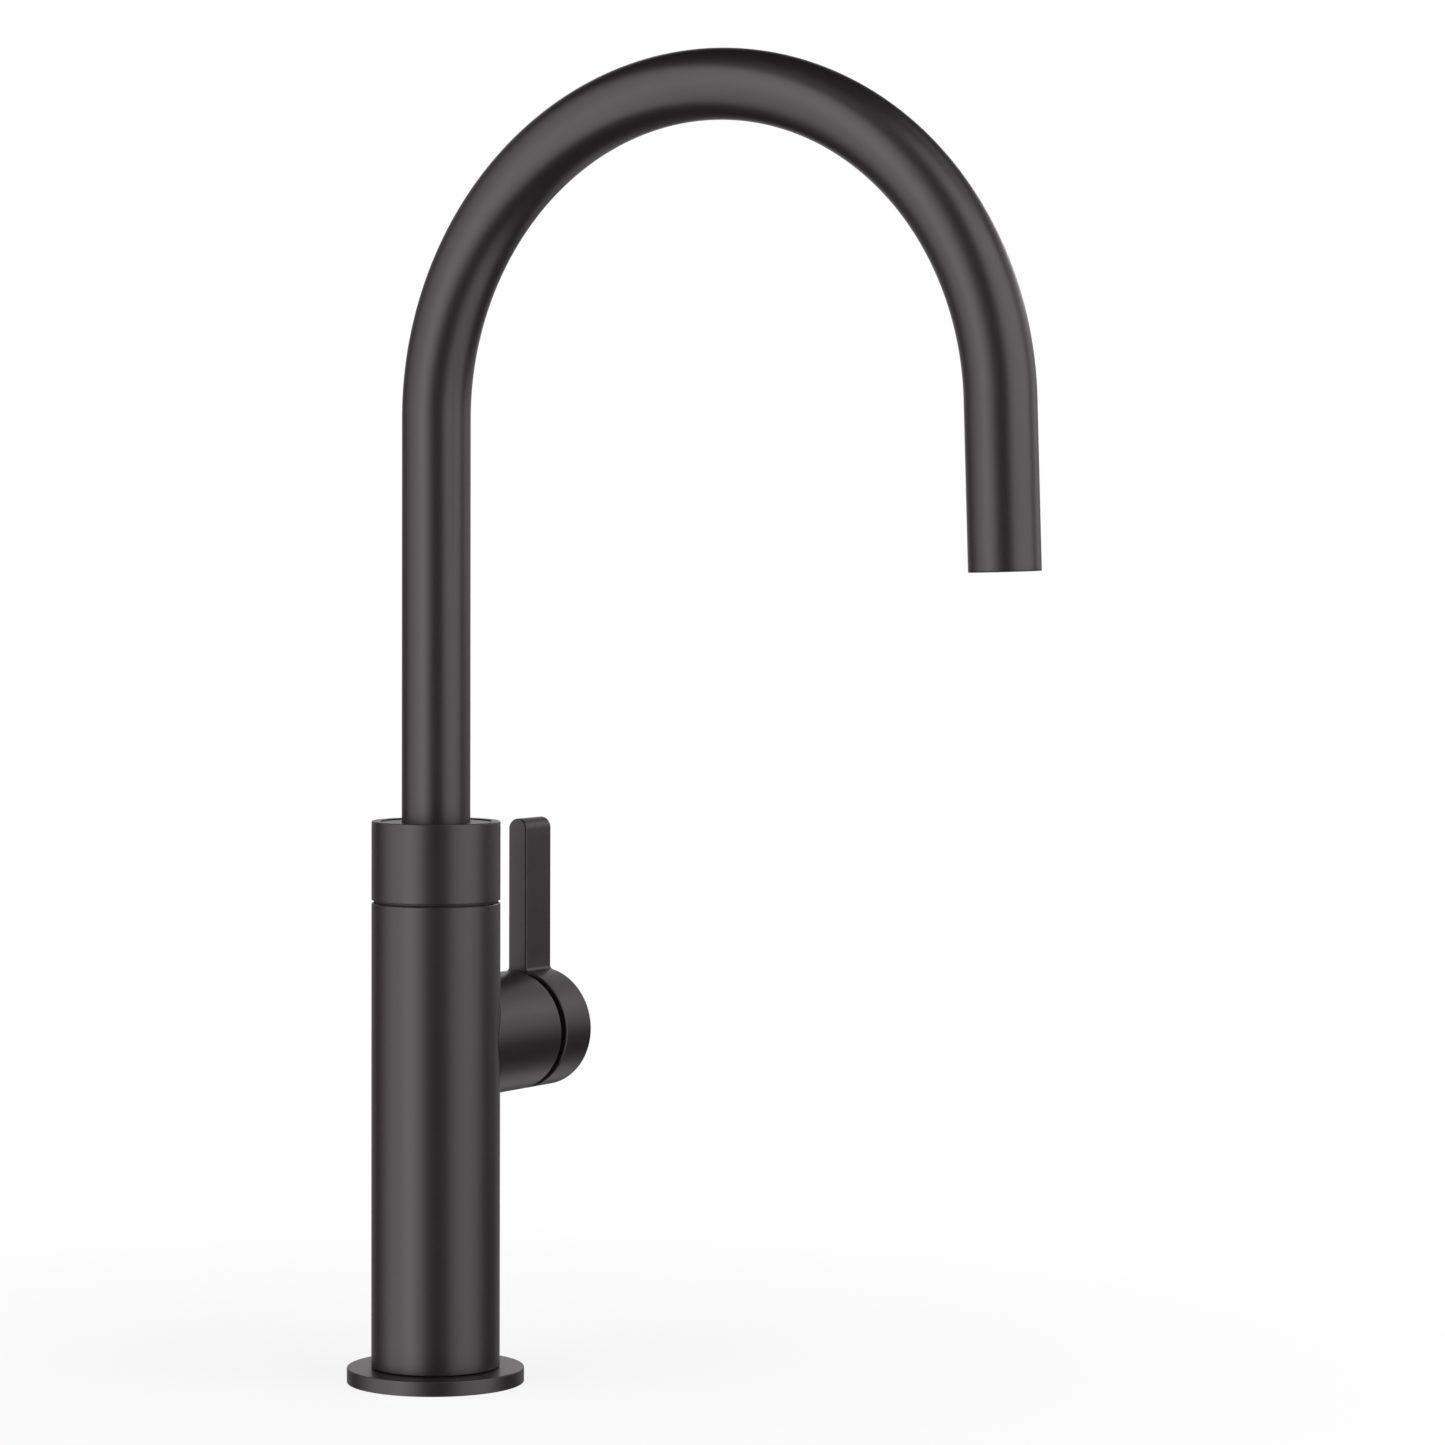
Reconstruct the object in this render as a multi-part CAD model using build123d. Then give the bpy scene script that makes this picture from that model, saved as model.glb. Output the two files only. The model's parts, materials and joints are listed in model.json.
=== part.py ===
from build123d import *
from math import cos, radians, sin

import os

# A beverage faucet for a kitchen sink: a column on a deck flange, a swivelling gooseneck
# spout on top of it, and a quarter-turn lever valve on its side.
# Millimetres. +Z runs up the column, the spout points along -Y, the valve along +X.
# The origin is the centre of the flange's underside, where it meets the deck.
# A thread is a plain cylinder at the radius where its two pieces meet.

# Clearances and soft edges
RUNNING_GAP = 0.05        # radial, between a shaft and its bore
SEATED = 0.05             # radial, between two pieces that are fixed together
WIPING = 0.02             # radial, between a seal and the moving wall it wipes
FACE_GAP = 0.05           # axial, between two faces that turn on each other
EDGE = 0.3                # rounding of the outside edges
SEAM_BEVEL = 0.25         # bevel of the edges on both sides of the swivel seam
FOOT_BEVEL = 0.35         # bevel of the column's lower edge, the dark line above the flange
NEAR = 0.01               # an edge this close to a place is the one meant

# Ceramic disc cartridge, from its axis outwards
DISC_RADIUS = 6.5
DISC_PLAY = 0.1           # radial, round the two discs
DISC_THICKNESS = 3.0
DISC_HUB = 1.9            # radius of the solid middle of each disc
DISC_RIM = 0.9            # solid rim outside the ports of each disc
PORT_ANGLE = 80.0         # each disc has two ports of this angle, opposite each other
SLEEVE_WALL = 1.0         # cartridge sleeve round the discs
WATER_GAP = 1.0           # ring-shaped water way round the sleeve
THREAD_DEPTH = 0.65       # step from the cartridge's nose to its thread
CARRIER_WALL = 2.35

# Ceramic disc cartridge, along its axis
PORT_FLOOR = -1.0         # floor of the side port in the valve body, from the column's axis
CARRIER_SEAL_THICKNESS = 1.0
CARRIER_END_WALL = 1.5
SEAT_SEAL_THICKNESS = 1.5
STEM_FOOT = 2.0           # thickness of the bar on the stem that drives the disc
STEM_FOOT_WIDTH = 4.0
WINDOW_WIDTH = 4.0        # the sleeve's four windows lie round the stem's foot
GUIDE_LENGTH = 15.85      # from the disc chamber to the mouth of the carrier
NOSE_LENGTH = 4.5         # plain nose with the seal ring, ahead of the cartridge's thread
HOUSING_LIP = 1.5         # lip of the housing, clamped under the cartridge's head
LIP_CLEARANCE = 0.15      # between that lip and the cartridge's thread
HEAD_FLANGE = 1.0
HEAD_HEX = 1.9            # height of the spanner hexagon
HEX_ACROSS_FLATS = 17.0
HEAD_CLEARANCE = 0.7      # between the cartridge's head and the housing round it
HEAD_COVER = 0.7          # how far the housing reaches past the hexagon

# Stem and quarter-turn stop
STEM_RADIUS = 4.0
STEM_RING_SECTION = 1.5
QUARTER_TURN = 90.0
STOP_PLAY = 0.5           # degrees between the stop lug and the end of its track
LUG_ANGLE = 40.0
LUG_MIDDLE = -135.0       # where the lug points when closed, from +Y towards +Z
STOP_RING_RADIUS = 5.2
STOP_RING_THICKNESS = 1.4
STOP_LUG_REACH = 7.2
STEM_FLAT = 2.9           # half the distance across the flats that key the stop ring
CLIP_THICKNESS = 0.6
CLIP_GROOVE = 0.5         # depth of the clip's groove below the stem's flats
CLIP_MOUTH = 3.84         # open side of the clip, which snaps over the stem
SPLINE_RADIUS = 3.3
SPLINE_TEETH = 18
SPLINE_TOOTH = 0.5        # height and width of one spline tooth

# Lever
KNOB_GAP = 2.3            # shadow gap between the housing and the turning knob
KNOB_THICKNESS = 10.8
KNOB_FACE_WALL = 3.0
LEVER_WIDTH = 4.9         # the tip is a full round of this width
LEVER_LENGTH = 50.4       # from the valve's axis to the lever's tip
LEVER_ROOT = 1.0          # fillet where the lever meets the knob
ADAPTER_RADIUS = 6.0
BOSS_WALL = 1.95          # wall of the knob's boss round the adapter
BOSS_GAP = 0.6            # between the boss and the cartridge's head
SET_SCREW_RADIUS = 1.95
SET_SCREW_LENGTH = 6.4
SET_SCREW_TIP = 1.2       # radius of its tip
HEX_KEY = 2.0             # socket of both grub screws, across flats
HEX_KEY_DEPTH = 2.0

# Column
VALVE_HEIGHT = 79.5       # valve axis above the deck
BODY_SIDE_WALL = 2.2      # valve body beside the side port
SHELL_CLEARANCE = 0.2     # between the valve body and the column's shell
COLUMN_WALL = 1.6
BODY_CAP_HEIGHT = 1.5     # wider top of the valve body, which holds the shell down
BODY_CAP_STEP = 0.9
HOUSING_CLEARANCE = 1.45  # between the carrier and the housing round it
HOUSING_WALL = 1.8
END_RING_THICKNESS = 1.4
END_RING_SET_BACK = 0.5   # from the mouth of the housing
SOCKET_FLOOR_WALL = 3.5   # between the side port and the spout's socket
SOCKET_DEPTH = 18.2

# Deck flange and water inlet
FLANGE_OVERHANG = 5.7     # past the column
FLANGE_THICKNESS = 3.5
FOOT_RADIUS = 11.0        # foot of the valve body, in the hole of the flange
SEAL_WIDTH = 2.4
SEAL_THICKNESS = 1.6
SEAL_EDGE = 1.7           # from the flange's edge to the seal's groove
SHANK_RADIUS = 8.2        # thread for the mounting shank
SHANK_DEPTH = 16.0
HOSE_RADIUS = 4.5         # thread for the supply hose
HOSE_DEPTH = 12.0
HOSE_CHAMBER = 5.0        # plain chamber above the hose thread
HOSE_CHAMBER_STEP = 0.3   # the chamber is narrower than the thread by this radius
WATERWAY_RADIUS = 2.8
INLET_WALL = 1.2          # between the rising waterway and the side port
OUTLET_WAY_RADIUS = 2.5
OUTLET_WAY_PLACE = 6.0    # from the column's axis towards the valve

# Swivel joint and collar
JOURNAL_RADIUS = 8.95
JOURNAL_END_GAP = 0.5     # above the floor of the socket
RING_SECTION = 1.5        # depth of the seal ring grooves
RING_GROOVE = 2.2
RING_INSET = 3.6          # ring's middle from each end of the socket
LOCK_GROOVE = 3.0
LOCK_GROOVE_DEPTH = 1.6
LOCK_TIP_RADIUS = 1.2
LOCK_TIP_GAP = 0.25
LOCK_SCREW_RADIUS = 1.95
LOCK_SCREW_SET_BACK = 0.5
GLIDE_THICKNESS = 0.6
GLIDE_SET_BACK = 0.5      # the glide ring stays behind the column's surface
COLLAR_HEIGHT = 18.35
COLLAR_WALL = 2.55
COLLAR_RIM = 2.0
COLLAR_WEB = 2.5
SPIGOT_FLANGE = 3.0
NECK_LENGTH = 10.0
NECK_WALL = 1.75
INSERT_THICKNESS = 2.0
INSERT_RECESS = 0.5

# Spout
TUBE_RADIUS = 8.0
TUBE_WALL = 1.0
RISER = 93.6              # straight tube above the collar
BEND_RADIUS = 73.7
BEND_ANGLE = 178.0
LEG_LENGTH = 37.2
OUTLET_RECESS = 0.8
OUTLET_SLEEVE_WALL = 1.3
OUTLET_SLEEVE_LENGTH = 9.0
OUTLET_LIP = 0.75         # lip under the flow straightener, inwards and in height
STRAIGHTENER_THICKNESS = 3.0
STRAIGHTENER_HOLE = 0.7
STRAIGHTENER_PITCH = 2.1
STRAIGHTENER_RINGS = 2
REGULATOR_THICKNESS = 2.5
REGULATOR_HOLES = 6
REGULATOR_HOLE = 0.9
REGULATOR_HOLE_PLACE = 3.4
OUTLET_SEAL_THICKNESS = 1.5
OUTLET_SEAL_WALL = 1.8

# Radii that follow, from the discs out to the column
sleeve_bore = DISC_RADIUS + DISC_PLAY
sleeve_radius = sleeve_bore + SLEEVE_WALL
cavity_radius = sleeve_radius + WATER_GAP
nose_radius = cavity_radius - SEATED
thread_radius = nose_radius + THREAD_DEPTH
carrier_radius = cavity_radius + CARRIER_WALL
port_radius = carrier_radius + SEATED
body_radius = port_radius + BODY_SIDE_WALL
shell_bore = body_radius + SHELL_CLEARANCE
column_radius = shell_bore + COLUMN_WALL
body_cap_radius = body_radius + BODY_CAP_STEP
housing_bore = carrier_radius + HOUSING_CLEARANCE
housing_radius = housing_bore + HOUSING_WALL
head_radius = housing_bore - HEAD_CLEARANCE
flange_radius = column_radius + FLANGE_OVERHANG
stem_bore = STEM_RADIUS + RUNNING_GAP
clip_groove_radius = STEM_FLAT - CLIP_GROOVE
boss_radius = ADAPTER_RADIUS + SEATED + BOSS_WALL
socket_radius = JOURNAL_RADIUS + RUNNING_GAP
tube_bore = TUBE_RADIUS - TUBE_WALL
neck_radius = tube_bore - SEATED
spigot_bore = neck_radius - NECK_WALL
collar_bore = column_radius - COLLAR_WALL
insert_radius = column_radius - COLLAR_RIM - SEATED

# Stations that follow along the valve's axis, from the column's axis
carrier_start = PORT_FLOOR + CARRIER_SEAL_THICKNESS
cavity_floor = carrier_start + CARRIER_END_WALL
disc_start = cavity_floor + SEAT_SEAL_THICKNESS
moving_disc_start = disc_start + DISC_THICKNESS + FACE_GAP
foot_start = moving_disc_start + DISC_THICKNESS
chamber_end = foot_start + STEM_FOOT + FACE_GAP
carrier_end = chamber_end + GUIDE_LENGTH
nose_end = chamber_end + SLEEVE_WALL + NOSE_LENGTH
nose_ring_station = nose_end - NOSE_LENGTH / 2
stem_ring_inset = (carrier_end - nose_end) / 4
head_start = carrier_end + HOUSING_LIP
hex_start = head_start + HEAD_FLANGE
head_end = hex_start + HEAD_HEX
housing_end = head_end + HEAD_COVER
track_floor = head_end - STOP_RING_THICKNESS - 2 * FACE_GAP
stop_ring_start = track_floor + FACE_GAP
clip_start = stop_ring_start + STOP_RING_THICKNESS + FACE_GAP
boss_start = head_end + BOSS_GAP
knob_start = housing_end + KNOB_GAP
knob_end = knob_start + KNOB_THICKNESS
adapter_end = knob_end - KNOB_FACE_WALL
set_screw_place = (knob_start + adapter_end) / 2

# Heights that follow, from the deck
hose_top = SHANK_DEPTH + HOSE_DEPTH
inlet_top = hose_top + HOSE_CHAMBER
inlet_place = PORT_FLOOR - INLET_WALL - WATERWAY_RADIUS
socket_floor = VALVE_HEIGHT + port_radius + SOCKET_FLOOR_WALL
column_top = socket_floor + SOCKET_DEPTH
lower_ring_height = socket_floor + RING_INSET
upper_ring_height = column_top - RING_INSET
lock_height = (lower_ring_height + upper_ring_height) / 2
glide_top = column_top + GLIDE_THICKNESS
collar_start = glide_top + FACE_GAP
collar_top = collar_start + COLLAR_HEIGHT
tube_start = collar_start + SPIGOT_FLANGE
web_top = tube_start + COLLAR_WEB
insert_top = collar_top - INSERT_RECESS
insert_start = insert_top - INSERT_THICKNESS
spring_height = collar_top + RISER

# The outlet: the leg leans outwards by what the bend lacks of a half turn
lean = radians(180 - BEND_ANGLE)
outlet_reach = BEND_RADIUS * (1 + cos(lean)) + LEG_LENGTH * sin(lean)
outlet_height = spring_height + BEND_RADIUS * sin(lean) - LEG_LENGTH * cos(lean)

ON_FLOOR = (Align.CENTER, Align.CENTER, Align.MIN)


def post(radius, low, high):
    """A round post on the column's axis between two heights."""
    return Pos(0, 0, low) * Cylinder(radius, high - low, align=ON_FLOOR)


def ring(outer, inner, low, high):
    """A ring on the column's axis between two heights."""
    return post(outer, low, high) - post(inner, low, high)


def valve_plane(station):
    """The plane square to the valve's axis: its x is +Y, its y is +Z, its normal +X."""
    return Plane(origin=(station, 0, VALVE_HEIGHT), x_dir=(0, 1, 0), z_dir=(1, 0, 0))


def valve_post(radius, start, end):
    """A round post on the valve's axis between two stations."""
    return valve_plane(start) * Cylinder(radius, end - start, align=ON_FLOOR)


def valve_ring(outer, inner, start, end):
    """A ring on the valve's axis between two stations."""
    return valve_post(outer, start, end) - valve_post(inner, start, end)


def valve_section(sketch, start, end):
    """A flat sketch drawn square to the valve's axis, carried between two stations."""
    return extrude(valve_plane(start) * sketch, end - start)


def sector(radius, middle, angle):
    """A pie slice about the origin, with its middle at an angle from the x axis."""
    start = middle - angle / 2
    arc = CenterArc((0, 0), radius, start, angle)
    sides = Polyline(arc @ 1, (0, 0), arc @ 0)
    return make_face(arc + sides)


def seal_ring(outer, inner):
    """A round-section rubber ring in the x-y plane, which fills its groove."""
    section = (outer - inner) / 2
    return Torus(inner + section, section)


def grub_screw(radius, tip_radius, tip, length):
    """A grub screw along z: the tip at z 0, then the threaded body, with a hexagon socket."""
    screw = Cylinder(tip_radius, tip, align=ON_FLOOR)
    screw += Pos(0, 0, tip) * Cylinder(radius, length - tip, align=ON_FLOOR)
    key = RegularPolygon(HEX_KEY / 2, 6, major_radius=False)
    return screw - Pos(0, 0, length - HEX_KEY_DEPTH) * extrude(key, HEX_KEY_DEPTH)


def edges_at(solid, axis, place, radius):
    """The round edges of one radius that lie at one place along an axis."""
    found = []
    for edge in solid.edges().filter_by(GeomType.CIRCLE):
        centre = edge.arc_center
        along = centre.Z if axis == Axis.Z else centre.X
        if abs(along - place) < NEAR and abs(edge.radius - radius) < NEAR:
            found.append(edge)
    return found


# Fixed pieces of the column


def base_flange():
    """The round deck flange, with a hole for the body's foot and a groove for the seal."""
    flange = post(flange_radius, 0, FLANGE_THICKNESS)
    flange = fillet(edges_at(flange, Axis.Z, FLANGE_THICKNESS, flange_radius), EDGE)
    flange -= post(FOOT_RADIUS + SEATED, 0, FLANGE_THICKNESS)
    groove_outer = flange_radius - SEAL_EDGE
    groove_inner = groove_outer - SEAL_WIDTH - 2 * SEATED
    return flange - ring(groove_outer, groove_inner, 0, SEAL_THICKNESS)


def base_seal():
    """The flat rubber ring under the flange, flush with its underside."""
    outer = flange_radius - SEAL_EDGE - SEATED
    return ring(outer, outer - SEAL_WIDTH, 0, SEAL_THICKNESS)


def column_shell():
    """The outer tube of the column, with the hole for the valve and one for the lock screw."""
    shell = post(column_radius, FLANGE_THICKNESS, column_top)
    shell = chamfer(edges_at(shell, Axis.Z, column_top, column_radius), SEAM_BEVEL)
    shell = chamfer(edges_at(shell, Axis.Z, FLANGE_THICKNESS, column_radius), FOOT_BEVEL)
    shell -= post(shell_bore, FLANGE_THICKNESS, column_top)
    shell -= post(body_cap_radius + SEATED, column_top - BODY_CAP_HEIGHT, column_top)
    shell -= valve_post(port_radius + SHELL_CLEARANCE, 0, column_radius)
    return shell - lock_screw_hole()


def valve_body():
    """The brass body: shank and hose threads, waterways, side port and the spout's socket."""
    body = post(FOOT_RADIUS, 0, FLANGE_THICKNESS)
    body += post(body_radius, FLANGE_THICKNESS, column_top)
    body += post(body_cap_radius, column_top - BODY_CAP_HEIGHT, column_top)
    body -= post(SHANK_RADIUS, 0, SHANK_DEPTH)
    body -= post(HOSE_RADIUS, SHANK_DEPTH, hose_top)
    body -= post(HOSE_RADIUS - HOSE_CHAMBER_STEP, hose_top, inlet_top)
    rising = post(WATERWAY_RADIUS, (hose_top + inlet_top) / 2, VALVE_HEIGHT)
    body -= Pos(inlet_place, 0, 0) * rising
    body -= valve_post(WATERWAY_RADIUS, inlet_place - WATERWAY_RADIUS, PORT_FLOOR)
    body -= valve_post(port_radius, PORT_FLOOR, column_radius)
    body -= Pos(OUTLET_WAY_PLACE, 0, 0) * post(OUTLET_WAY_RADIUS, VALVE_HEIGHT, socket_floor)
    body -= post(socket_radius, socket_floor, column_top)
    return body - lock_screw_hole()


def lock_screw_hole():
    """The threaded hole at the back of the column for the screw that keeps the spout in."""
    hole = Cylinder(LOCK_SCREW_RADIUS + SEATED, column_radius, align=ON_FLOOR)
    return Location((0, 0, lock_height), (-90, 0, 0)) * hole


def spout_lock_screw():
    """The grub screw whose tip runs in the spigot's groove."""
    start = JOURNAL_RADIUS - LOCK_GROOVE_DEPTH + LOCK_TIP_GAP
    tip = socket_radius - start
    length = column_radius - LOCK_SCREW_SET_BACK - start
    screw = grub_screw(LOCK_SCREW_RADIUS, LOCK_TIP_RADIUS, tip, length)
    return Location((0, start, lock_height), (-90, 0, 0)) * screw


def glide_ring():
    """The plastic washer that the collar turns on; its edge is the dark line of the seam."""
    return ring(column_radius - GLIDE_SET_BACK, socket_radius + SHELL_CLEARANCE, column_top, glide_top)


def valve_carrier():
    """The brass sleeve in the side port that takes the cartridge."""
    carrier = valve_post(carrier_radius, carrier_start, carrier_end)
    carrier -= valve_post(WATERWAY_RADIUS, carrier_start, cavity_floor)
    carrier -= valve_post(cavity_radius, cavity_floor, carrier_end)
    carrier -= valve_post(thread_radius + SEATED, nose_end, carrier_end)
    outlet = post(OUTLET_WAY_RADIUS, VALVE_HEIGHT, VALVE_HEIGHT + carrier_radius)
    return carrier - Pos(OUTLET_WAY_PLACE, 0, 0) * outlet


def carrier_seal():
    """The flat ring between the floor of the side port and the carrier."""
    return valve_ring(sleeve_radius, WATERWAY_RADIUS + SEATED, PORT_FLOOR, carrier_start)


def valve_housing():
    """The round outer housing of the valve, saddled on the column, with its clamping lip."""
    housing = valve_post(housing_radius, 0, housing_end)
    housing = fillet(edges_at(housing, Axis.X, housing_end, housing_radius), EDGE)
    housing -= valve_post(housing_bore, 0, housing_end)
    lip_bore = thread_radius + LIP_CLEARANCE
    housing += valve_ring(housing_bore, lip_bore, carrier_end, head_start)
    return housing - post(column_radius + SEATED, 0, column_top)


def housing_end_ring():
    """The dark plastic ring that closes the housing behind the knob."""
    end = housing_end - END_RING_SET_BACK
    hex_corner = HEX_ACROSS_FLATS / 2 / cos(radians(30))
    outer = housing_bore - SEATED
    return valve_ring(outer, hex_corner + SHELL_CLEARANCE, end - END_RING_THICKNESS, end)


# Fixed pieces of the cartridge


def cartridge_body():
    """The brass cartridge: disc sleeve with windows, nose, thread, head and stop track."""
    body = valve_post(sleeve_radius, disc_start, chamber_end + SLEEVE_WALL)
    body += valve_post(nose_radius, chamber_end + SLEEVE_WALL, nose_end)
    body += valve_post(thread_radius, nose_end, head_start)
    body += valve_post(head_radius, head_start, hex_start)
    hexagon = RegularPolygon(HEX_ACROSS_FLATS / 2, 6, major_radius=False)
    body += valve_section(hexagon, hex_start, head_end)
    body -= valve_post(sleeve_bore, disc_start, chamber_end)
    body -= valve_post(stem_bore, chamber_end, head_end)
    body -= cartridge_ring_groove()
    window = Box(2 * cavity_radius, WINDOW_WIDTH, STEM_FOOT)
    for turn in (0, 90):
        middle = (foot_start + chamber_end) / 2
        body -= valve_plane(middle) * (Rot(0, 0, turn) * window)
    track = Circle(STOP_RING_RADIUS + SHELL_CLEARANCE)
    sweep_angle = QUARTER_TURN + LUG_ANGLE + 2 * STOP_PLAY
    track += sector(STOP_LUG_REACH + SHELL_CLEARANCE, LUG_MIDDLE + QUARTER_TURN / 2, sweep_angle)
    return body - valve_section(track, track_floor, head_end)


def cartridge_ring_groove():
    """The groove in the cartridge's nose for its seal ring."""
    start = nose_ring_station - RING_GROOVE / 2
    return valve_ring(cavity_radius, nose_radius - RING_SECTION, start, start + RING_GROOVE)


def cartridge_o_ring():
    """The rubber ring between the cartridge's nose and the carrier."""
    ring_solid = seal_ring(cavity_radius - WIPING, nose_radius - RING_SECTION)
    return valve_plane(nose_ring_station) * ring_solid


def seat_seal():
    """The rubber seat that presses the fixed disc against the moving one."""
    return valve_ring(sleeve_radius, WATERWAY_RADIUS + SEATED, cavity_floor, disc_start)


def disc_blank(start, port_middle):
    """A ceramic disc with its two ports, opposite each other."""
    ports = Sketch()
    for middle in (port_middle, port_middle + 180):
        ports += sector(DISC_RADIUS - DISC_RIM, middle, PORT_ANGLE)
    ports -= Circle(DISC_HUB)
    return valve_section(Circle(DISC_RADIUS) - ports, start, start + DISC_THICKNESS)


def fixed_disc():
    """The ceramic disc that stays still, with its ports above and below the axis."""
    return disc_blank(disc_start, 90)


# Pieces that turn with the lever


def drive_slot(play):
    """The straight tongue of the stem that sits in the moving disc, with some play."""
    return Rectangle(DISC_HUB + play, 2 * (DISC_RADIUS - DISC_RIM) + play)


def rotating_disc():
    """The ceramic disc that turns, with its ports in front and behind when closed."""
    disc = disc_blank(moving_disc_start, 0)
    half = foot_start - DISC_THICKNESS / 2
    return disc - valve_section(drive_slot(2 * SEATED), half, foot_start)


def spline(radius, teeth, tooth):
    """The toothed end of the stem, as a flat section."""
    section = Circle(radius)
    for index in range(teeth):
        section += Rot(0, 0, index * 360 / teeth) * Pos(radius, 0) * Rectangle(2 * tooth, tooth)
    return section


def flatted(radius, flat):
    """A circle with two flats."""
    return Circle(radius) & Rectangle(2 * flat, 2 * radius)


def stem_ring_stations():
    """Where the two seal rings of the stem lie along the valve's axis."""
    return (nose_end + stem_ring_inset, carrier_end - stem_ring_inset)


def valve_stem():
    """The brass stem: driving bar and tongue, seal grooves, flats, clip groove and spline."""
    tongue_start = foot_start - DISC_THICKNESS / 2 + SEATED
    stem = valve_section(drive_slot(0), tongue_start, foot_start)
    foot = Circle(DISC_RADIUS) & Rectangle(STEM_FOOT_WIDTH, 2 * DISC_RADIUS)
    stem += valve_section(foot, foot_start, foot_start + STEM_FOOT)
    stem += valve_post(STEM_RADIUS, foot_start + STEM_FOOT, track_floor)
    stem += valve_section(flatted(STEM_RADIUS, STEM_FLAT), track_floor, clip_start)
    clip_end = clip_start + CLIP_THICKNESS + FACE_GAP
    stem += valve_post(clip_groove_radius, clip_start, clip_end)
    stem += valve_post(SPLINE_RADIUS, clip_end, adapter_end - SEATED)
    teeth = spline(SPLINE_RADIUS, SPLINE_TEETH, SPLINE_TOOTH)
    stem += valve_section(teeth, boss_start, adapter_end - SEATED)
    for station in stem_ring_stations():
        start = station - RING_GROOVE / 2
        inner = STEM_RADIUS - STEM_RING_SECTION
        stem -= valve_ring(stem_bore, inner, start, start + RING_GROOVE)
    return stem


def stem_o_ring(station):
    """A rubber ring on the stem, which wipes the bore of the cartridge."""
    outer = stem_bore - WIPING
    return valve_plane(station) * seal_ring(outer, STEM_RADIUS - STEM_RING_SECTION)


def stop_ring():
    """The keyed ring whose lug meets both ends of its track: the quarter turn's stop."""
    outline = Circle(STOP_RING_RADIUS) + sector(STOP_LUG_REACH, LUG_MIDDLE, LUG_ANGLE)
    outline -= flatted(STEM_RADIUS + SEATED, STEM_FLAT + SEATED)
    return valve_section(outline, stop_ring_start, stop_ring_start + STOP_RING_THICKNESS)


def stem_clip():
    """The open spring clip in the stem's groove, which keeps the stop ring on."""
    outline = Circle(STOP_RING_RADIUS) - Circle(clip_groove_radius + SEATED)
    outline -= Pos(STOP_RING_RADIUS / 2, 0) * Rectangle(STOP_RING_RADIUS, CLIP_MOUTH)
    return valve_section(outline, clip_start, clip_start + CLIP_THICKNESS)


def handle_adapter():
    """The plastic bush between the stem's spline and the knob."""
    teeth = spline(SPLINE_RADIUS + SEATED, SPLINE_TEETH, SPLINE_TOOTH + SEATED)
    return valve_section(Circle(ADAPTER_RADIUS) - teeth, boss_start, adapter_end)


def lever_handle():
    """The knob with its upright lever in one piece, and the boss that takes the adapter."""
    straight = LEVER_LENGTH - LEVER_WIDTH / 2
    bar = Pos(0, straight / 2) * Rectangle(LEVER_WIDTH, straight)
    bar += Pos(0, straight) * Circle(LEVER_WIDTH / 2)
    outline = Circle(housing_radius) + bar
    roots = outline.vertices().sort_by(Axis.Y)
    roots = [corner for corner in roots if 0 < corner.Y < housing_radius]
    outline = fillet(roots, LEVER_ROOT)
    handle = valve_section(outline, knob_start, knob_end)
    rims = handle.faces().filter_by(Axis.X).edges()
    handle = fillet(rims, EDGE)
    handle += valve_post(boss_radius, boss_start, knob_start + EDGE)
    handle -= valve_post(ADAPTER_RADIUS + SEATED, boss_start, adapter_end)
    hole = Cylinder(SET_SCREW_RADIUS + SEATED, housing_radius, align=ON_FLOOR)
    return handle - Location((set_screw_place, 0, VALVE_HEIGHT), (180, 0, 0)) * hole


def handle_set_screw():
    """The grub screw under the knob, which presses on the adapter."""
    screw = grub_screw(SET_SCREW_RADIUS, SET_SCREW_TIP, SEATED, SET_SCREW_LENGTH)
    place = (set_screw_place, 0, VALVE_HEIGHT - ADAPTER_RADIUS - SEATED)
    return Location(place, (180, 0, 0)) * screw


# Pieces that turn with the spout


def ring_groove(height):
    """The groove round the journal for one seal ring."""
    low = height - RING_GROOVE / 2
    return ring(socket_radius, JOURNAL_RADIUS - RING_SECTION, low, low + RING_GROOVE)


def spout_spigot():
    """The brass spigot: journal in the socket, flange on the glide ring, neck in the tube."""
    spigot = post(JOURNAL_RADIUS, socket_floor + JOURNAL_END_GAP, collar_start)
    spigot += post(collar_bore - SEATED, collar_start, tube_start)
    spigot += post(neck_radius, tube_start, tube_start + NECK_LENGTH)
    spigot -= post(spigot_bore, socket_floor, tube_start + NECK_LENGTH)
    spigot -= ring_groove(lower_ring_height)
    spigot -= ring_groove(upper_ring_height)
    low = lock_height - LOCK_GROOVE / 2
    floor = JOURNAL_RADIUS - LOCK_GROOVE_DEPTH
    return spigot - ring(socket_radius, floor, low, low + LOCK_GROOVE)


def spigot_o_ring(height):
    """A rubber ring on the journal, which wipes the socket."""
    return Pos(0, 0, height) * seal_ring(socket_radius - WIPING, JOURNAL_RADIUS - RING_SECTION)


def swivel_collar():
    """The collar under the tube, with an inner web that sits on the spigot's flange."""
    collar = post(column_radius, collar_start, collar_top)
    collar = chamfer(edges_at(collar, Axis.Z, collar_start, column_radius), SEAM_BEVEL)
    collar = fillet(edges_at(collar, Axis.Z, collar_top, column_radius), EDGE)
    collar -= post(collar_bore, collar_start, tube_start)
    collar -= post(TUBE_RADIUS + SEATED, tube_start, web_top)
    collar -= post(collar_bore, web_top, insert_start)
    return collar - post(insert_radius + SEATED, insert_start, collar_top)


def collar_insert():
    """The flat ring set just under the collar's rim, round the tube."""
    return ring(insert_radius, TUBE_RADIUS + SEATED, insert_start, insert_top)


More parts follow.
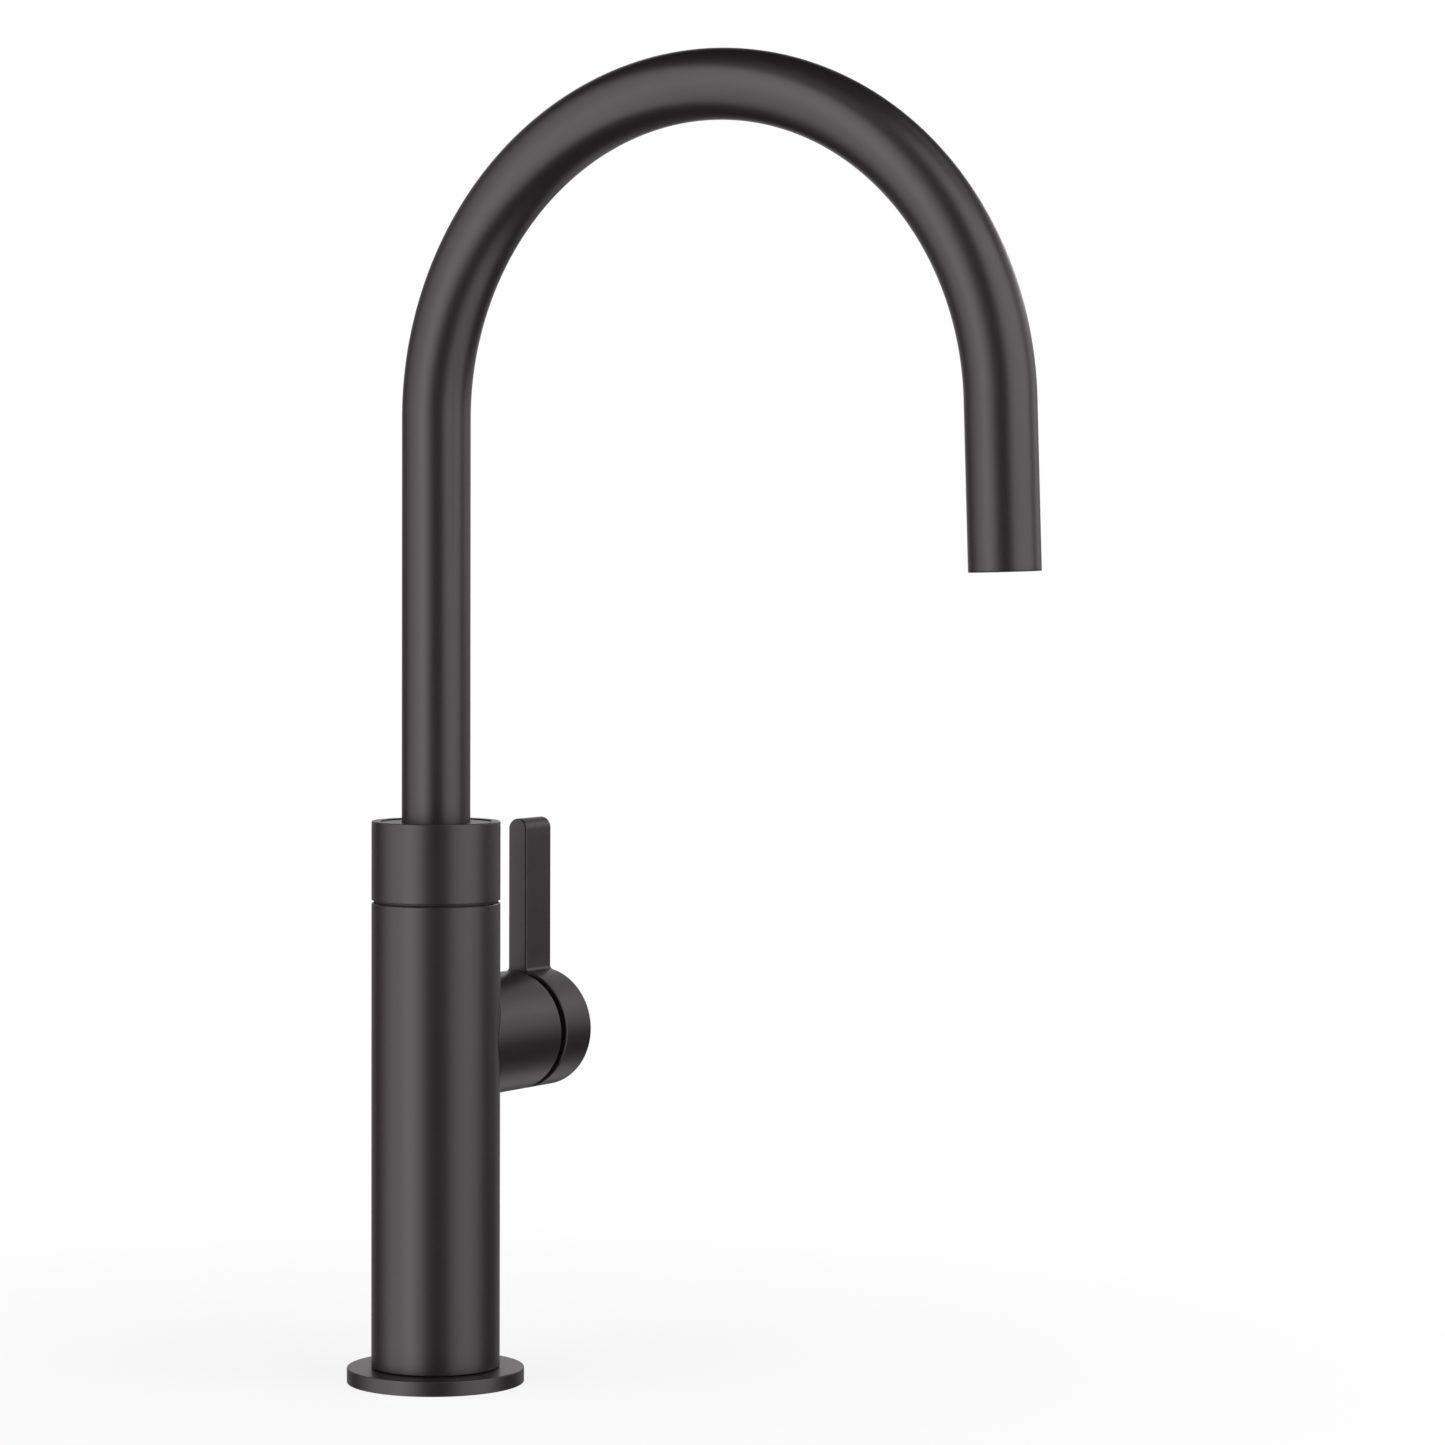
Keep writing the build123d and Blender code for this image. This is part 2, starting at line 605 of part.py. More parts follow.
def spout_tube():
    """The gooseneck: a straight riser, one bend and a straight leg."""
    plane = Plane(origin=(0, 0, 0), x_dir=(0, -1, 0), z_dir=(-1, 0, 0))
    riser = Line((0, tube_start), (0, spring_height))
    bend = JernArc((0, spring_height), (0, 1), BEND_RADIUS, -BEND_ANGLE)
    leg = Line(bend @ 1, (outlet_reach, outlet_height))
    path = plane * (riser + bend + leg)
    section = Plane.XY.offset(tube_start) * (Circle(TUBE_RADIUS) - Circle(tube_bore))
    return sweep(section, path)


def outlet_plane(inset):
    """The plane square to the leg, some way up it from the outlet, facing up the leg."""
    up = Vector(0, sin(lean), cos(lean))
    place = Vector(0, -outlet_reach, outlet_height) + up * inset
    return Plane(origin=place, x_dir=(1, 0, 0), z_dir=up)


def outlet_sleeve():
    """The plastic sleeve pressed into the outlet, with a lip under what it holds."""
    bore = neck_radius - OUTLET_SLEEVE_WALL
    sleeve = Cylinder(neck_radius, OUTLET_SLEEVE_LENGTH, align=ON_FLOOR)
    sleeve -= Cylinder(bore - OUTLET_LIP, OUTLET_SLEEVE_LENGTH, align=ON_FLOOR)
    sleeve -= Pos(0, 0, OUTLET_LIP) * Cylinder(bore, OUTLET_SLEEVE_LENGTH, align=ON_FLOOR)
    return outlet_plane(OUTLET_RECESS) * sleeve


def flow_straightener():
    """The disc with a honeycomb of holes that makes the stream clear and even."""
    disc = Circle(neck_radius - OUTLET_SLEEVE_WALL - SEATED) - Circle(STRAIGHTENER_HOLE)
    for circle in range(1, STRAIGHTENER_RINGS + 1):
        holes = 6 * circle
        for index in range(holes):
            turn = index * 360 / holes
            place = Rot(0, 0, turn) * Pos(circle * STRAIGHTENER_PITCH, 0)
            disc -= place * Circle(STRAIGHTENER_HOLE)
    return outlet_plane(OUTLET_RECESS + OUTLET_LIP) * extrude(disc, STRAIGHTENER_THICKNESS)


def flow_regulator():
    """The disc behind the straightener that limits the flow."""
    disc = Circle(neck_radius - OUTLET_SLEEVE_WALL - SEATED)
    for index in range(REGULATOR_HOLES):
        place = Rot(0, 0, index * 360 / REGULATOR_HOLES) * Pos(REGULATOR_HOLE_PLACE, 0)
        disc -= place * Circle(REGULATOR_HOLE)
    inset = OUTLET_RECESS + OUTLET_LIP + STRAIGHTENER_THICKNESS
    return outlet_plane(inset) * extrude(disc, REGULATOR_THICKNESS)


def outlet_seal():
    """The rubber washer on top of the outlet sleeve."""
    washer = Circle(neck_radius) - Circle(neck_radius - OUTLET_SEAL_WALL)
    inset = OUTLET_RECESS + OUTLET_SLEEVE_LENGTH
    return outlet_plane(inset) * extrude(washer, OUTLET_SEAL_THICKNESS)


stem_ring_inner, stem_ring_outer = stem_ring_stations()

pieces = {
    "base_flange": base_flange(),
    "base_seal": base_seal(),
    "column_shell": column_shell(),
    "valve_body": valve_body(),
    "spout_lock_screw": spout_lock_screw(),
    "glide_ring": glide_ring(),
    "valve_carrier": valve_carrier(),
    "carrier_seal": carrier_seal(),
    "valve_housing": valve_housing(),
    "housing_end_ring": housing_end_ring(),
    "cartridge_body": cartridge_body(),
    "cartridge_o_ring": cartridge_o_ring(),
    "seat_seal": seat_seal(),
    "fixed_disc": fixed_disc(),
    "rotating_disc": rotating_disc(),
    "valve_stem": valve_stem(),
    "stem_o_ring_inner": stem_o_ring(stem_ring_inner),
    "stem_o_ring_outer": stem_o_ring(stem_ring_outer),
    "stop_ring": stop_ring(),
    "stem_clip": stem_clip(),
    "handle_adapter": handle_adapter(),
    "lever_handle": lever_handle(),
    "handle_set_screw": handle_set_screw(),
    "spout_spigot": spout_spigot(),
    "spigot_o_ring_lower": spigot_o_ring(lower_ring_height),
    "spigot_o_ring_upper": spigot_o_ring(upper_ring_height),
    "swivel_collar": swivel_collar(),
    "collar_insert": collar_insert(),
    "spout_tube": spout_tube(),
    "outlet_sleeve": outlet_sleeve(),
    "flow_straightener": flow_straightener(),
    "flow_regulator": flow_regulator(),
    "outlet_seal": outlet_seal(),
}

os.makedirs("parts", exist_ok=True)
for name, piece in pieces.items():
    export_step(piece, f"parts/{name}.step")
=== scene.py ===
import json
from math import acos, atan2, cos, pi, radians, sin, sqrt, tan

import bmesh
import bpy
import numpy as np
from bpy.props import FloatProperty, FloatVectorProperty, PointerProperty
from mathutils import Matrix, Vector


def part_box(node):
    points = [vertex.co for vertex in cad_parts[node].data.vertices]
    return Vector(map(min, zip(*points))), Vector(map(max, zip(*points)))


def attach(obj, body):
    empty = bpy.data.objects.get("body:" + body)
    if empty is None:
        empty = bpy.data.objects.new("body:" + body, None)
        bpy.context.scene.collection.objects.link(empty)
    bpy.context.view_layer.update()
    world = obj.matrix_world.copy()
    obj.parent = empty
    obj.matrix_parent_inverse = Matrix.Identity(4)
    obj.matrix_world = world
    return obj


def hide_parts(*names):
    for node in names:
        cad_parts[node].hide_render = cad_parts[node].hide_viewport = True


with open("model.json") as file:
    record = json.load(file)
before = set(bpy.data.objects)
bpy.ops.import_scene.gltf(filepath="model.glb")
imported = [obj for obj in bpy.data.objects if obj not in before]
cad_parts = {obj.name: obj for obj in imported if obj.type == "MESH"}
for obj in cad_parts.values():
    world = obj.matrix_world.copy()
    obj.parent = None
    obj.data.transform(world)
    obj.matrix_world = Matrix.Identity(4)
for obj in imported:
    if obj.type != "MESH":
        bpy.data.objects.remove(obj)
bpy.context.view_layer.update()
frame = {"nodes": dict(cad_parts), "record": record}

bl_info = {
    "name": "Beverage faucet",
    "version": (1, 0, 0),
    "blender": (4, 5, 0),
    "location": "3D View > Sidebar > Faucet",
    "description": "Dresses a beverage faucet: column, collar, gooseneck, side valve, lever and studio",
    "category": "Add Mesh",
}

MM = 0.001
SEATED = 0.05 * MM        # radial room between two fixed pieces, as in the solids
GUARD = 0.06 * MM         # flat strip beside a rounding, which keeps the flat side flat in its shading
FACET = 0.02 * MM         # what the solids' facets fall short of a full round
BROKEN = 0.08 * MM        # rounding of an edge that is only broken
INNER_BROKEN = 0.12 * MM  # the same on the lever's inner side
RING_BROKEN = 0.04 * MM   # the same on the thin glide ring
SEAL_WIDTH = 2.4 * MM     # width of the seal under the flange

# What a hole takes out of a wall's grid: half its height in hole radii, and half its width as an angle
PORT_ROOM, PORT_SPREAD = 1.08, radians(64.5)
SCREW_ROOM, SCREW_SPREAD = 1.45, radians(12.0)
SET_SCREW_ROOM, SET_SCREW_SPREAD = 1.5, radians(31.0)


# Places read from the frame


def low(node):
    """The least x, y and z of a solid."""
    return np.array(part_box(node)[0])


def high(node):
    """The greatest x, y and z of a solid."""
    return np.array(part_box(node)[1])


def by_name(entries, name):
    """The record's entry of that name."""
    return next(entry for entry in entries if entry["name"] == name)


RECORD = frame["record"]
LEG = by_name(RECORD["mounts"], "spout_end")
VALVE_HEIGHT = by_name(RECORD["behaviour"]["joints"], "lever_turn")["pos_m"][2]
TUBE_RADIUS = LEG["dims"]["r_mm"] * MM
LEG_LENGTH = LEG["dims"]["length_mm"] * MM
LEAN = acos(-LEG["axis"][2])
LEG_MIDDLE = -LEG["pos_m"][1]
BEND_RADIUS = (LEG_MIDDLE - LEG_LENGTH / 2 * sin(LEAN)) / (1 + cos(LEAN))
SPRING_HEIGHT = high("spout_tube")[2] - TUBE_RADIUS - BEND_RADIUS


# Sizes and colours that a user would change


def length(name, description, default):
    """A length in metres."""
    return FloatProperty(name=name, description=description, default=default, unit="LENGTH", precision=5)


def tint(name, description, default):
    """A colour."""
    return FloatVectorProperty(
        name=name, description=description, default=default, subtype="COLOR", size=3, min=0, max=1)


def share(name, description, default):
    """A share from 0 to 1."""
    return FloatProperty(name=name, description=description, default=default, min=0, max=1, subtype="FACTOR")


def times(name, description):
    """A factor on a group of levels, 1 as it stands."""
    return FloatProperty(name=name, description=description, default=1.0, min=0, subtype="FACTOR")


class FlangeSizes(bpy.types.PropertyGroup):
    radius: length("Radius", "Outside of the deck flange", high("base_flange")[0])
    thickness: length("Thickness", "Height of the flange above the deck", high("base_flange")[2])
    hole: length("Hole", "Radius of the hole for the body's foot", 11.05 * MM)
    rounding: length("Rounding", "Rounding of the upper edge", 0.3 * MM)
    foot_rounding: length("Foot rounding", "Rounding of the lower edge", 0.15 * MM)
    seal_room: length("Seal room", "Radial room of the groove round the seal", SEATED)


class ColumnSizes(bpy.types.PropertyGroup):
    radius: length("Radius", "Outside of the column", high("column_shell")[1])
    foot: length("Foot", "Height at which the column stands on the flange", low("column_shell")[2])
    top: length("Top", "Height of the swivel seam's lower edge", high("column_shell")[2])
    wall: length("Wall", "Thickness of the column's tube", 1.6 * MM)
    foot_bevel: length("Foot bevel", "Bevel above the flange, seen as a dark line", 0.35 * MM)
    seam_bevel: length("Seam bevel", "Bevel at the swivel seam", 0.25 * MM)
    cap_radius: length("Cap radius", "Bore at the top, round the body's cap", 14.15 * MM)
    cap_height: length("Cap height", "Height of that wider bore", 1.5 * MM)
    port_radius: length("Port radius", "Hole under the valve's housing", 11.35 * MM)


class CollarSizes(bpy.types.PropertyGroup):
    radius: length("Radius", "Outside of the collar", high("swivel_collar")[0])
    foot: length("Foot", "Upper edge of the swivel seam", low("swivel_collar")[2])
    foot_bevel: length("Foot bevel", "Broken edge above the swivel seam", 0.08 * MM)
    top: length("Top", "Height of the rim", high("swivel_collar")[2])
    bore: length("Bore", "Radius of the collar's inside", 12.45 * MM)
    seat_low: length("Seat", "Height of the web that sits on the spigot", low("spout_tube")[2])
    web: length("Web", "Thickness of the web", 2.5 * MM)
    rim_rounding: length("Rim rounding", "Rounding of the rim's outer edge", 0.3 * MM)
    insert_top: length("Insert top", "Top of the flat ring set in", high("collar_insert")[2] + 0.2 * MM)
    insert_edge: length("Insert edge", "Rounding of the insert ring's edges and its seat's", 0.10 * MM)
    glide_bore: length("Glide bore", "Bore of the glide ring in the swivel seam", 9.2 * MM)
    groove: length("Seam groove", "Height of the dark groove under the glide ring", 0.22 * MM)
    groove_depth: length("Groove depth", "Depth of that groove", 0.33 * MM)


class SpoutSizes(bpy.types.PropertyGroup):
    radius: length("Tube radius", "Outside of the gooseneck", TUBE_RADIUS - FACET)
    wall: length("Wall", "Wall of the gooseneck", 1.0 * MM)
    start: length("Start", "Height at which the tube starts inside the collar", low("spout_tube")[2])
    spring: length("Spring height", "Height at which the bend starts", SPRING_HEIGHT)
    bend: length("Bend radius", "Radius of the bend's middle line", BEND_RADIUS)
    lean: FloatProperty(
        name="Lean", description="What the bend lacks of a half turn", default=LEAN, unit="ROTATION")
    leg: length("Leg", "Straight leg down to the outlet", LEG_LENGTH)
    lip: length("Lip", "Rounding of the outlet's two edges", 0.22 * MM)


class HousingSizes(bpy.types.PropertyGroup):
    height: length("Axis height", "Height of the valve's axis", VALVE_HEIGHT)
    radius: length("Radius", "Outside of the valve's housing", high("valve_housing")[1])
    end: length("End", "Mouth of the housing, from the column's axis", high("valve_housing")[0])
    wall: length("Wall", "Wall of the housing", 1.8 * MM)
    rounding: length("Rounding", "Rounding of the mouth", 0.3 * MM)
    lip_start: length("Lip start", "Clamping lip inside, from the column's axis", 26.45 * MM)
    lip_end: length("Lip end", "End of the clamping lip", 27.95 * MM)
    lip_bore: length("Lip bore", "Bore of the clamping lip", 9.35 * MM)


class LeverSizes(bpy.types.PropertyGroup):
    height: length("Axis height", "Height of the valve's axis", VALVE_HEIGHT)
    radius: length("Knob radius", "Outside of the knob", high("lever_handle")[1])
    thickness: length("Thickness", "Thickness of the knob and of the lever", 10.8 * MM)
    end: length("End", "Outer face, from the column's axis", high("lever_handle")[0])
    width: length("Lever width", "Width of the lever, whose tip is a full round", 5.1 * MM)
    tip: length("Tip", "Tip above the valve's axis", high("lever_handle")[2] + 0.1 * MM - VALVE_HEIGHT)
    root: length("Root", "Fillet where the lever meets the knob", 1.0 * MM)
    rounding: length("Rounding", "Rounding of the edges", 0.4 * MM)
    boss: length("Boss", "Radius of the boss on the inner side", 8.0 * MM)
    boss_start: length("Boss start", "End of the boss, from the column's axis", low("lever_handle")[0])
    bore: length("Bore", "Bore for the splined bush", 6.05 * MM)
    face: length("Face wall", "Wall behind the outer face", 3.0 * MM)


class CoatLook(bpy.types.PropertyGroup):
    colour: tint("Colour", "Dark anthracite ground", (0.0092, 0.0068, 0.0075))
    sheen_tint: tint("Reflection tint", "Slight warmth of the reflections", (1.0, 0.925, 0.945))
    roughness: share("Roughness", "Satin: soft, wide reflections", 0.362)
    grain: share("Grain", "Depth of the fine blasted grain", 0.10)
    # How much lighter the rounded edges are: partly wear, partly a painted highlight on the edges.
    edge_wear_and_sheen: share("Worn edges", "How much lighter the rounded edges are", 0.02)


class StudioSetup(bpy.types.PropertyGroup):
    left_level: times("Left lamps", "Brightness of the lamps on the left")
    right_level: times("Right lamps", "Brightness of the lamps on the right")
    shadow: share("Floor shadow", "Share of shaded floor, not glow, under the faucet", 0.16)
    shadow_start: length("Shadow start", "Distance at which the shaded floor starts to fade", 0.02)
    shadow_reach: length("Shadow reach", "Distance at which the floor is the backdrop's white", 0.30)
    floor: tint("Floor", "Pale floor", (0.86, 0.86, 0.86))


# Shapes as arrays


def arc(centre, radius, start, end, steps):
    """Points of a circle in a plane: centre + radius (cos a, sin a), a in even steps from start to end."""
    angles = np.linspace(start, end, steps)
    return np.array(centre) + radius * np.stack([np.cos(angles), np.sin(angles)], axis=1)


def rounded(corners, steps=8):
    """A closed profile with rounded corners.

    Each corner is (x, y, radius). The arc that replaces it touches both sides at radius / tan(half the angle
    between them), and its points turn evenly from one touching point to the other. Radius 0 leaves the point
    as it is. Returns the points, and for each of them how far it is into an outer rounding, from 0 to 1.
    """
    places = np.array([corner[:2] for corner in corners], dtype=float)
    before = np.roll(places, 1, axis=0) - places
    after = np.roll(places, -1, axis=0) - places
    turning = np.sign(np.sum(before[:, 0] * after[:, 1] - before[:, 1] * after[:, 0]))
    points, worn = [], []
    for place, back, on, (_, _, radius) in zip(places, before, after, corners):
        if radius == 0:
            points.append(place[None])
            worn.append(np.zeros(1))
            continue
        a, b = back / np.linalg.norm(back), on / np.linalg.norm(on)
        half = acos(np.clip(a @ b, -1, 1)) / 2
        reach = radius / tan(half)
        centre = place + (a + b) / np.linalg.norm(a + b) * radius / sin(half)
        first, last = place + a * reach - centre, place + b * reach - centre
        sweep = pi - 2 * half
        t = np.linspace(0, 1, steps)[:, None]
        swung = (np.sin((1 - t) * sweep) * first + np.sin(t * sweep) * last) / sin(sweep)
        guards = place + np.stack([a, b]) * (reach + GUARD)
        points += [guards[:1], centre + swung, guards[1:]]
        outer = np.sign(a[0] * b[1] - a[1] * b[0]) == turning
        worn += [np.zeros(1), np.sin(pi * t[:, 0]) * outer, np.zeros(1)]
    return np.concatenate(points), np.concatenate(worn)


class Shell:
    """Vertices and faces of one closed piece, gathered as arrays before its mesh is made."""

    def __init__(self):
        self.points, self.worn, self.quads, self.triangles = [], [], [], []
        self.count = 0

    def add(self, points, worn=0.0):
        """Adds an array of points and returns their numbers in the same layout."""
        layout = points.shape[:-1]
        self.points.append(points.reshape(-1, 3))
        self.worn.append(np.broadcast_to(worn, layout).reshape(-1))
        numbers = self.count + np.arange(np.prod(layout, dtype=int)).reshape(layout)
        self.count += numbers.size
        return numbers

    def skin(self, numbers, closed_rows, keep=None):
        """Covers a grid of numbered points, whose columns close on themselves, with quads."""
        down = np.roll(numbers, -1, axis=0)
        quads = np.stack([numbers, np.roll(numbers, -1, axis=1), np.roll(down, -1, axis=1), down], axis=-1)
        chosen = np.ones(numbers.shape, bool) if keep is None else keep.copy()
        if not closed_rows:
            chosen[-1] = False
        self.quads.append(quads[chosen])

    def cap(self, ring, centre):
        """Closes a ring with triangles to one middle point."""
        middle = self.add(np.array([centre], dtype=float))
        pole = np.full(ring.shape, middle[0])
        self.triangles.append(np.stack([ring, np.roll(ring, -1), pole], axis=-1))

    def finish(self, name, body, *nodes, slot="anthracite_coat", material=None):
        """Makes the object: faces outwards, smooth, with its rounded edges as an attribute, by which the coat
        makes them lighter: partly wear, partly a painted highlight.
        """
        faces = [face for part in self.quads + self.triangles for face in part.tolist()]
        mesh = bpy.data.meshes.new(name)
        mesh.from_pydata(np.concatenate(self.points).tolist(), [], faces)
        # Weights of the rounded edges, which the coat makes lighter: partly wear, partly a painted highlight.
        worn = mesh.attributes.new("worn", "FLOAT", "POINT")
        worn.data.foreach_set("value", np.concatenate(self.worn).astype(np.float32))
        work = bmesh.new()
        work.from_mesh(mesh)
        bmesh.ops.recalc_face_normals(work, faces=work.faces)
        work.to_mesh(mesh)
        work.free()
        mesh.shade_smooth()
        mesh.validate()
        mesh.materials.append(material or coat())
        piece = bpy.data.objects.new(name, mesh)
        bpy.context.scene.collection.objects.link(piece)
        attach(piece, body)
        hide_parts(*nodes)


def turned(profile, around):
    """A profile (radius, height) turned about the column's axis: (r cos a, r sin a, z) for even angles a."""
    angle = np.linspace(0, 2 * pi, around, endpoint=False)
    radius, height = profile[:, :1], profile[:, 1:]
    return np.stack([radius * np.cos(angle), radius * np.sin(angle), height + 0 * angle], axis=-1)


def turned_piece(corners, around, name, body, node, **finish):
    """A ring-shaped piece: a closed profile with rounded corners, turned about the column's axis."""
    profile, worn = rounded(corners)
    shell = Shell()
    shell.skin(shell.add(turned(profile, around), worn[:, None]), closed_rows=True)
    shell.finish(name, body, node, **finish)


def window_loop(numbers, rows, columns):
    """The numbers round the edge of a block of a grid, in order."""
    block = np.take(numbers[rows[0]:rows[1] + 1], range(columns[0], columns[1] + 1), axis=1, mode="wrap")
    return np.concatenate([block[0, :-1], block[:-1, -1], block[-1, :0:-1], block[:0:-1, 0]])


def pierce(shell, numbers, rows, columns, flat, lift, centre, radius, rings=6):
    """A round hole in a block of a curved wall.

    flat gives a point's two plan coordinates and lift puts a plan point back on the wall. Rings of points run
    from the circle to the block's edge: plan = (1 - t) circle + t edge, along rays from the hole's middle.
    """
    edge = window_loop(numbers, rows, columns)
    outer = flat(np.concatenate(shell.points)[edge])
    ray = outer - centre
    circle = centre + radius * ray / np.linalg.norm(ray, axis=1, keepdims=True)
    t = (np.linspace(0, 1, rings, endpoint=False) ** 1.3)[:, None, None]
    inner = shell.add(lift((1 - t) * circle + t * outer))
    shell.skin(np.concatenate([inner, edge[None]]), closed_rows=False)
    return inner[0]


def take_block(keep, rows, columns):
    """Sets the cells of a grid to False in the block that a hole takes."""
    keep[rows[0]:rows[1], np.arange(*columns) % keep.shape[1]] = False


def join_rims(shell, first, second):
    """The side of a hole, from one wall's rim to the other's.

    The second rim is turned round, and reversed if need be, so that its points face the first one's.
    """
    points = np.concatenate(shell.points)
    lined = []
    for ring in (second, second[::-1]):
        nearest = int(np.argmin(np.linalg.norm(points[ring] - points[first[0]], axis=1)))
        lined.append(np.roll(ring, -nearest))
    facing = min(lined, key=lambda ring: np.linalg.norm(points[ring] - points[first], axis=1).sum())
    shell.skin(np.stack([first, facing]), closed_rows=False)


# Finishes


def new_node(tree, kind, values=None, **settings):
    """A new node: its settings are made, then each input gets a value or is joined to another's output."""
    node = tree.nodes.new("ShaderNode" + kind)
    for name, setting in settings.items():
        setattr(node, name, setting)
    for place, value in (values or {}).items():
        if isinstance(value, bpy.types.NodeSocket):
            tree.links.new(value, node.inputs[place])
        else:
            node.inputs[place].default_value = value
    return node


def node_tree(name):
    """A new material's tree with its Principled shader and Object coordinates."""
    material = bpy.data.materials.new(name)
    material.use_nodes = True
    tree = material.node_tree
    return material, tree, tree.nodes["Principled BSDF"], new_node(tree, "TexCoord").outputs["Object"]


def noise(tree, places, scale, detail=2.0, stretch=None):
    """Noise at so many cells per metre, stretched if asked, as a value from 0 to 1."""
    if stretch:
        places = new_node(tree, "Mapping", {"Vector": places, "Scale": stretch}).outputs["Vector"]
    return new_node(tree, "TexNoise", {"Vector": places, "Scale": scale, "Detail": detail}).outputs["Fac"]


FIRST_COLOUR, SECOND_COLOUR, MIXED_COLOUR = 6, 7, 2      # the Mix node's sockets for colours


def blend(tree, factor, first, second):
    """Mixes two colours by a factor; either may be a colour or another node's output."""
    values = {"Factor": factor}
    for place, value in ((FIRST_COLOUR, first), (SECOND_COLOUR, second)):
        values[place] = value if isinstance(value, bpy.types.NodeSocket) else (*value, 1.0)
    return new_node(tree, "Mix", values, data_type="RGBA").outputs[MIXED_COLOUR]


def ranged(tree, value, start, end):
    """Carries a value from 0 to 1 over to a range."""
    return new_node(tree, "MapRange", {"Value": value, "To Min": start, "To Max": end}).outputs["Result"]


def bump(tree, shader, heights, depth, strength):
    """Bumps a shader's surface by a height map, depth in metres."""
    node = new_node(tree, "Bump", {"Height": heights, "Distance": depth, "Strength": strength})
    tree.links.new(node.outputs["Normal"], shader.inputs["Normal"])


def lighter(colour, factor):
    """A colour times a factor, each part 1 at the most."""
    return tuple(min(1.0, part * factor) for part in colour)


def coat():
    """Dark anthracite satin coat over a fine blasted grain, a little lighter on the rounded edges, which is
    partly wear and partly a painted highlight.
    """
    found = bpy.data.materials.get("satin_coat")
    if found:
        return found
    look = bpy.context.scene.faucet_coat
    material, tree, shader, places = node_tree("satin_coat")
    ground = tuple(look.colour)
    clouds = noise(tree, places, scale=55.0, detail=3.0)
    flakes = noise(tree, places, scale=5200.0, detail=1.0)
    colour = blend(tree, ranged(tree, clouds, 0.25, 0.75), lighter(ground, 0.93), lighter(ground, 1.07))
    colour = blend(tree, ranged(tree, flakes, 0.0, 0.35), colour, lighter(ground, 1.5))
    # Rounded edges made lighter: partly wear, partly a painted highlight.
    worn = ranged(tree, new_node(tree, "Attribute", attribute_name="worn").outputs["Fac"], 0.0, look.edge_wear_and_sheen)
    tree.links.new(blend(tree, worn, colour, lighter(ground, 4.0)), shader.inputs["Base Color"])
    soft = ranged(tree, clouds, look.roughness - 0.045, look.roughness - 0.005)
    rough = new_node(tree, "Math", {0: flakes, 1: 0.05, 2: soft}, operation="MULTIPLY_ADD")
    tree.links.new(rough.outputs[0], shader.inputs["Roughness"])
    shader.inputs["Specular Tint"].default_value = (*look.sheen_tint, 1.0)
    shader.inputs["IOR"].default_value = 1.54
    grain = noise(tree, places, scale=4200.0)
    bump(tree, shader, grain, depth=0.02 * MM, strength=look.grain)
    return material


def turned_metal(name, colour, roughness):
    """Machined metal: fine rings of tool marks, and tarnish in soft clouds."""
    material, tree, shader, places = node_tree(name)
    clouds = noise(tree, places, scale=160.0, detail=4.0)
    marks = noise(tree, places, scale=900.0, stretch=(0.15, 0.15, 6.0))
    tree.links.new(blend(tree, clouds, lighter(colour, 0.82), colour), shader.inputs["Base Color"])
    tree.links.new(ranged(tree, marks, roughness - 0.08, roughness + 0.1), shader.inputs["Roughness"])
    shader.inputs["Metallic"].default_value = 1.0
    bump(tree, shader, marks, depth=0.02 * MM, strength=0.25)
    return material


def moulded(name, colour, roughness, grain, depth, index=1.5):
    """Moulded plastic, rubber or lapped ceramic: faint mottling and a grain of its own size."""
    found = bpy.data.materials.get(name)
    if found:
        return found
    material, tree, shader, places = node_tree(name)
    shader.inputs["IOR"].default_value = index
    clouds = noise(tree, places, scale=220.0, detail=3.0)
    mottled = blend(tree, clouds, lighter(colour, 0.86), lighter(colour, 1.08))
    tree.links.new(mottled, shader.inputs["Base Color"])
    pits = noise(tree, places, scale=grain)
    tree.links.new(ranged(tree, pits, roughness - 0.06, roughness + 0.08), shader.inputs["Roughness"])
    bump(tree, shader, pits, depth, strength=0.3)
    return material


def ring_plastic():
    """Dark moulded plastic of the rings in the seam and behind the knob."""
    return moulded("dark_plastic", (0.008, 0.008, 0.008), 0.50, 1800.0, 0.02 * MM, index=1.40)


# Pieces


class FAUCET_OT_flange(bpy.types.Operator):
    """Deck flange: a flat ring with a rounded upper edge and a groove for its seal"""
    bl_idname = "faucet.make_flange"
    bl_label = "Deck flange"

    def execute(self, context):
        size = context.scene.faucet_flange
        seal_out = high("base_seal")[0] + size.seal_room
        seal_in = seal_out - SEAL_WIDTH - 2 * size.seal_room
        seal_top = high("base_seal")[2]
        corners = [
            (size.hole, 0, BROKEN),
            (seal_in, 0, BROKEN),
            (seal_in, seal_top, BROKEN),
            (seal_out, seal_top, BROKEN),
            (seal_out, 0, BROKEN),
            (size.radius, 0, size.foot_rounding),
            (size.radius, size.thickness, size.rounding),
            (size.hole, size.thickness, BROKEN),
        ]
        turned_piece(corners, 256, "deck_flange", "column", "base_flange")
        return {"FINISHED"}


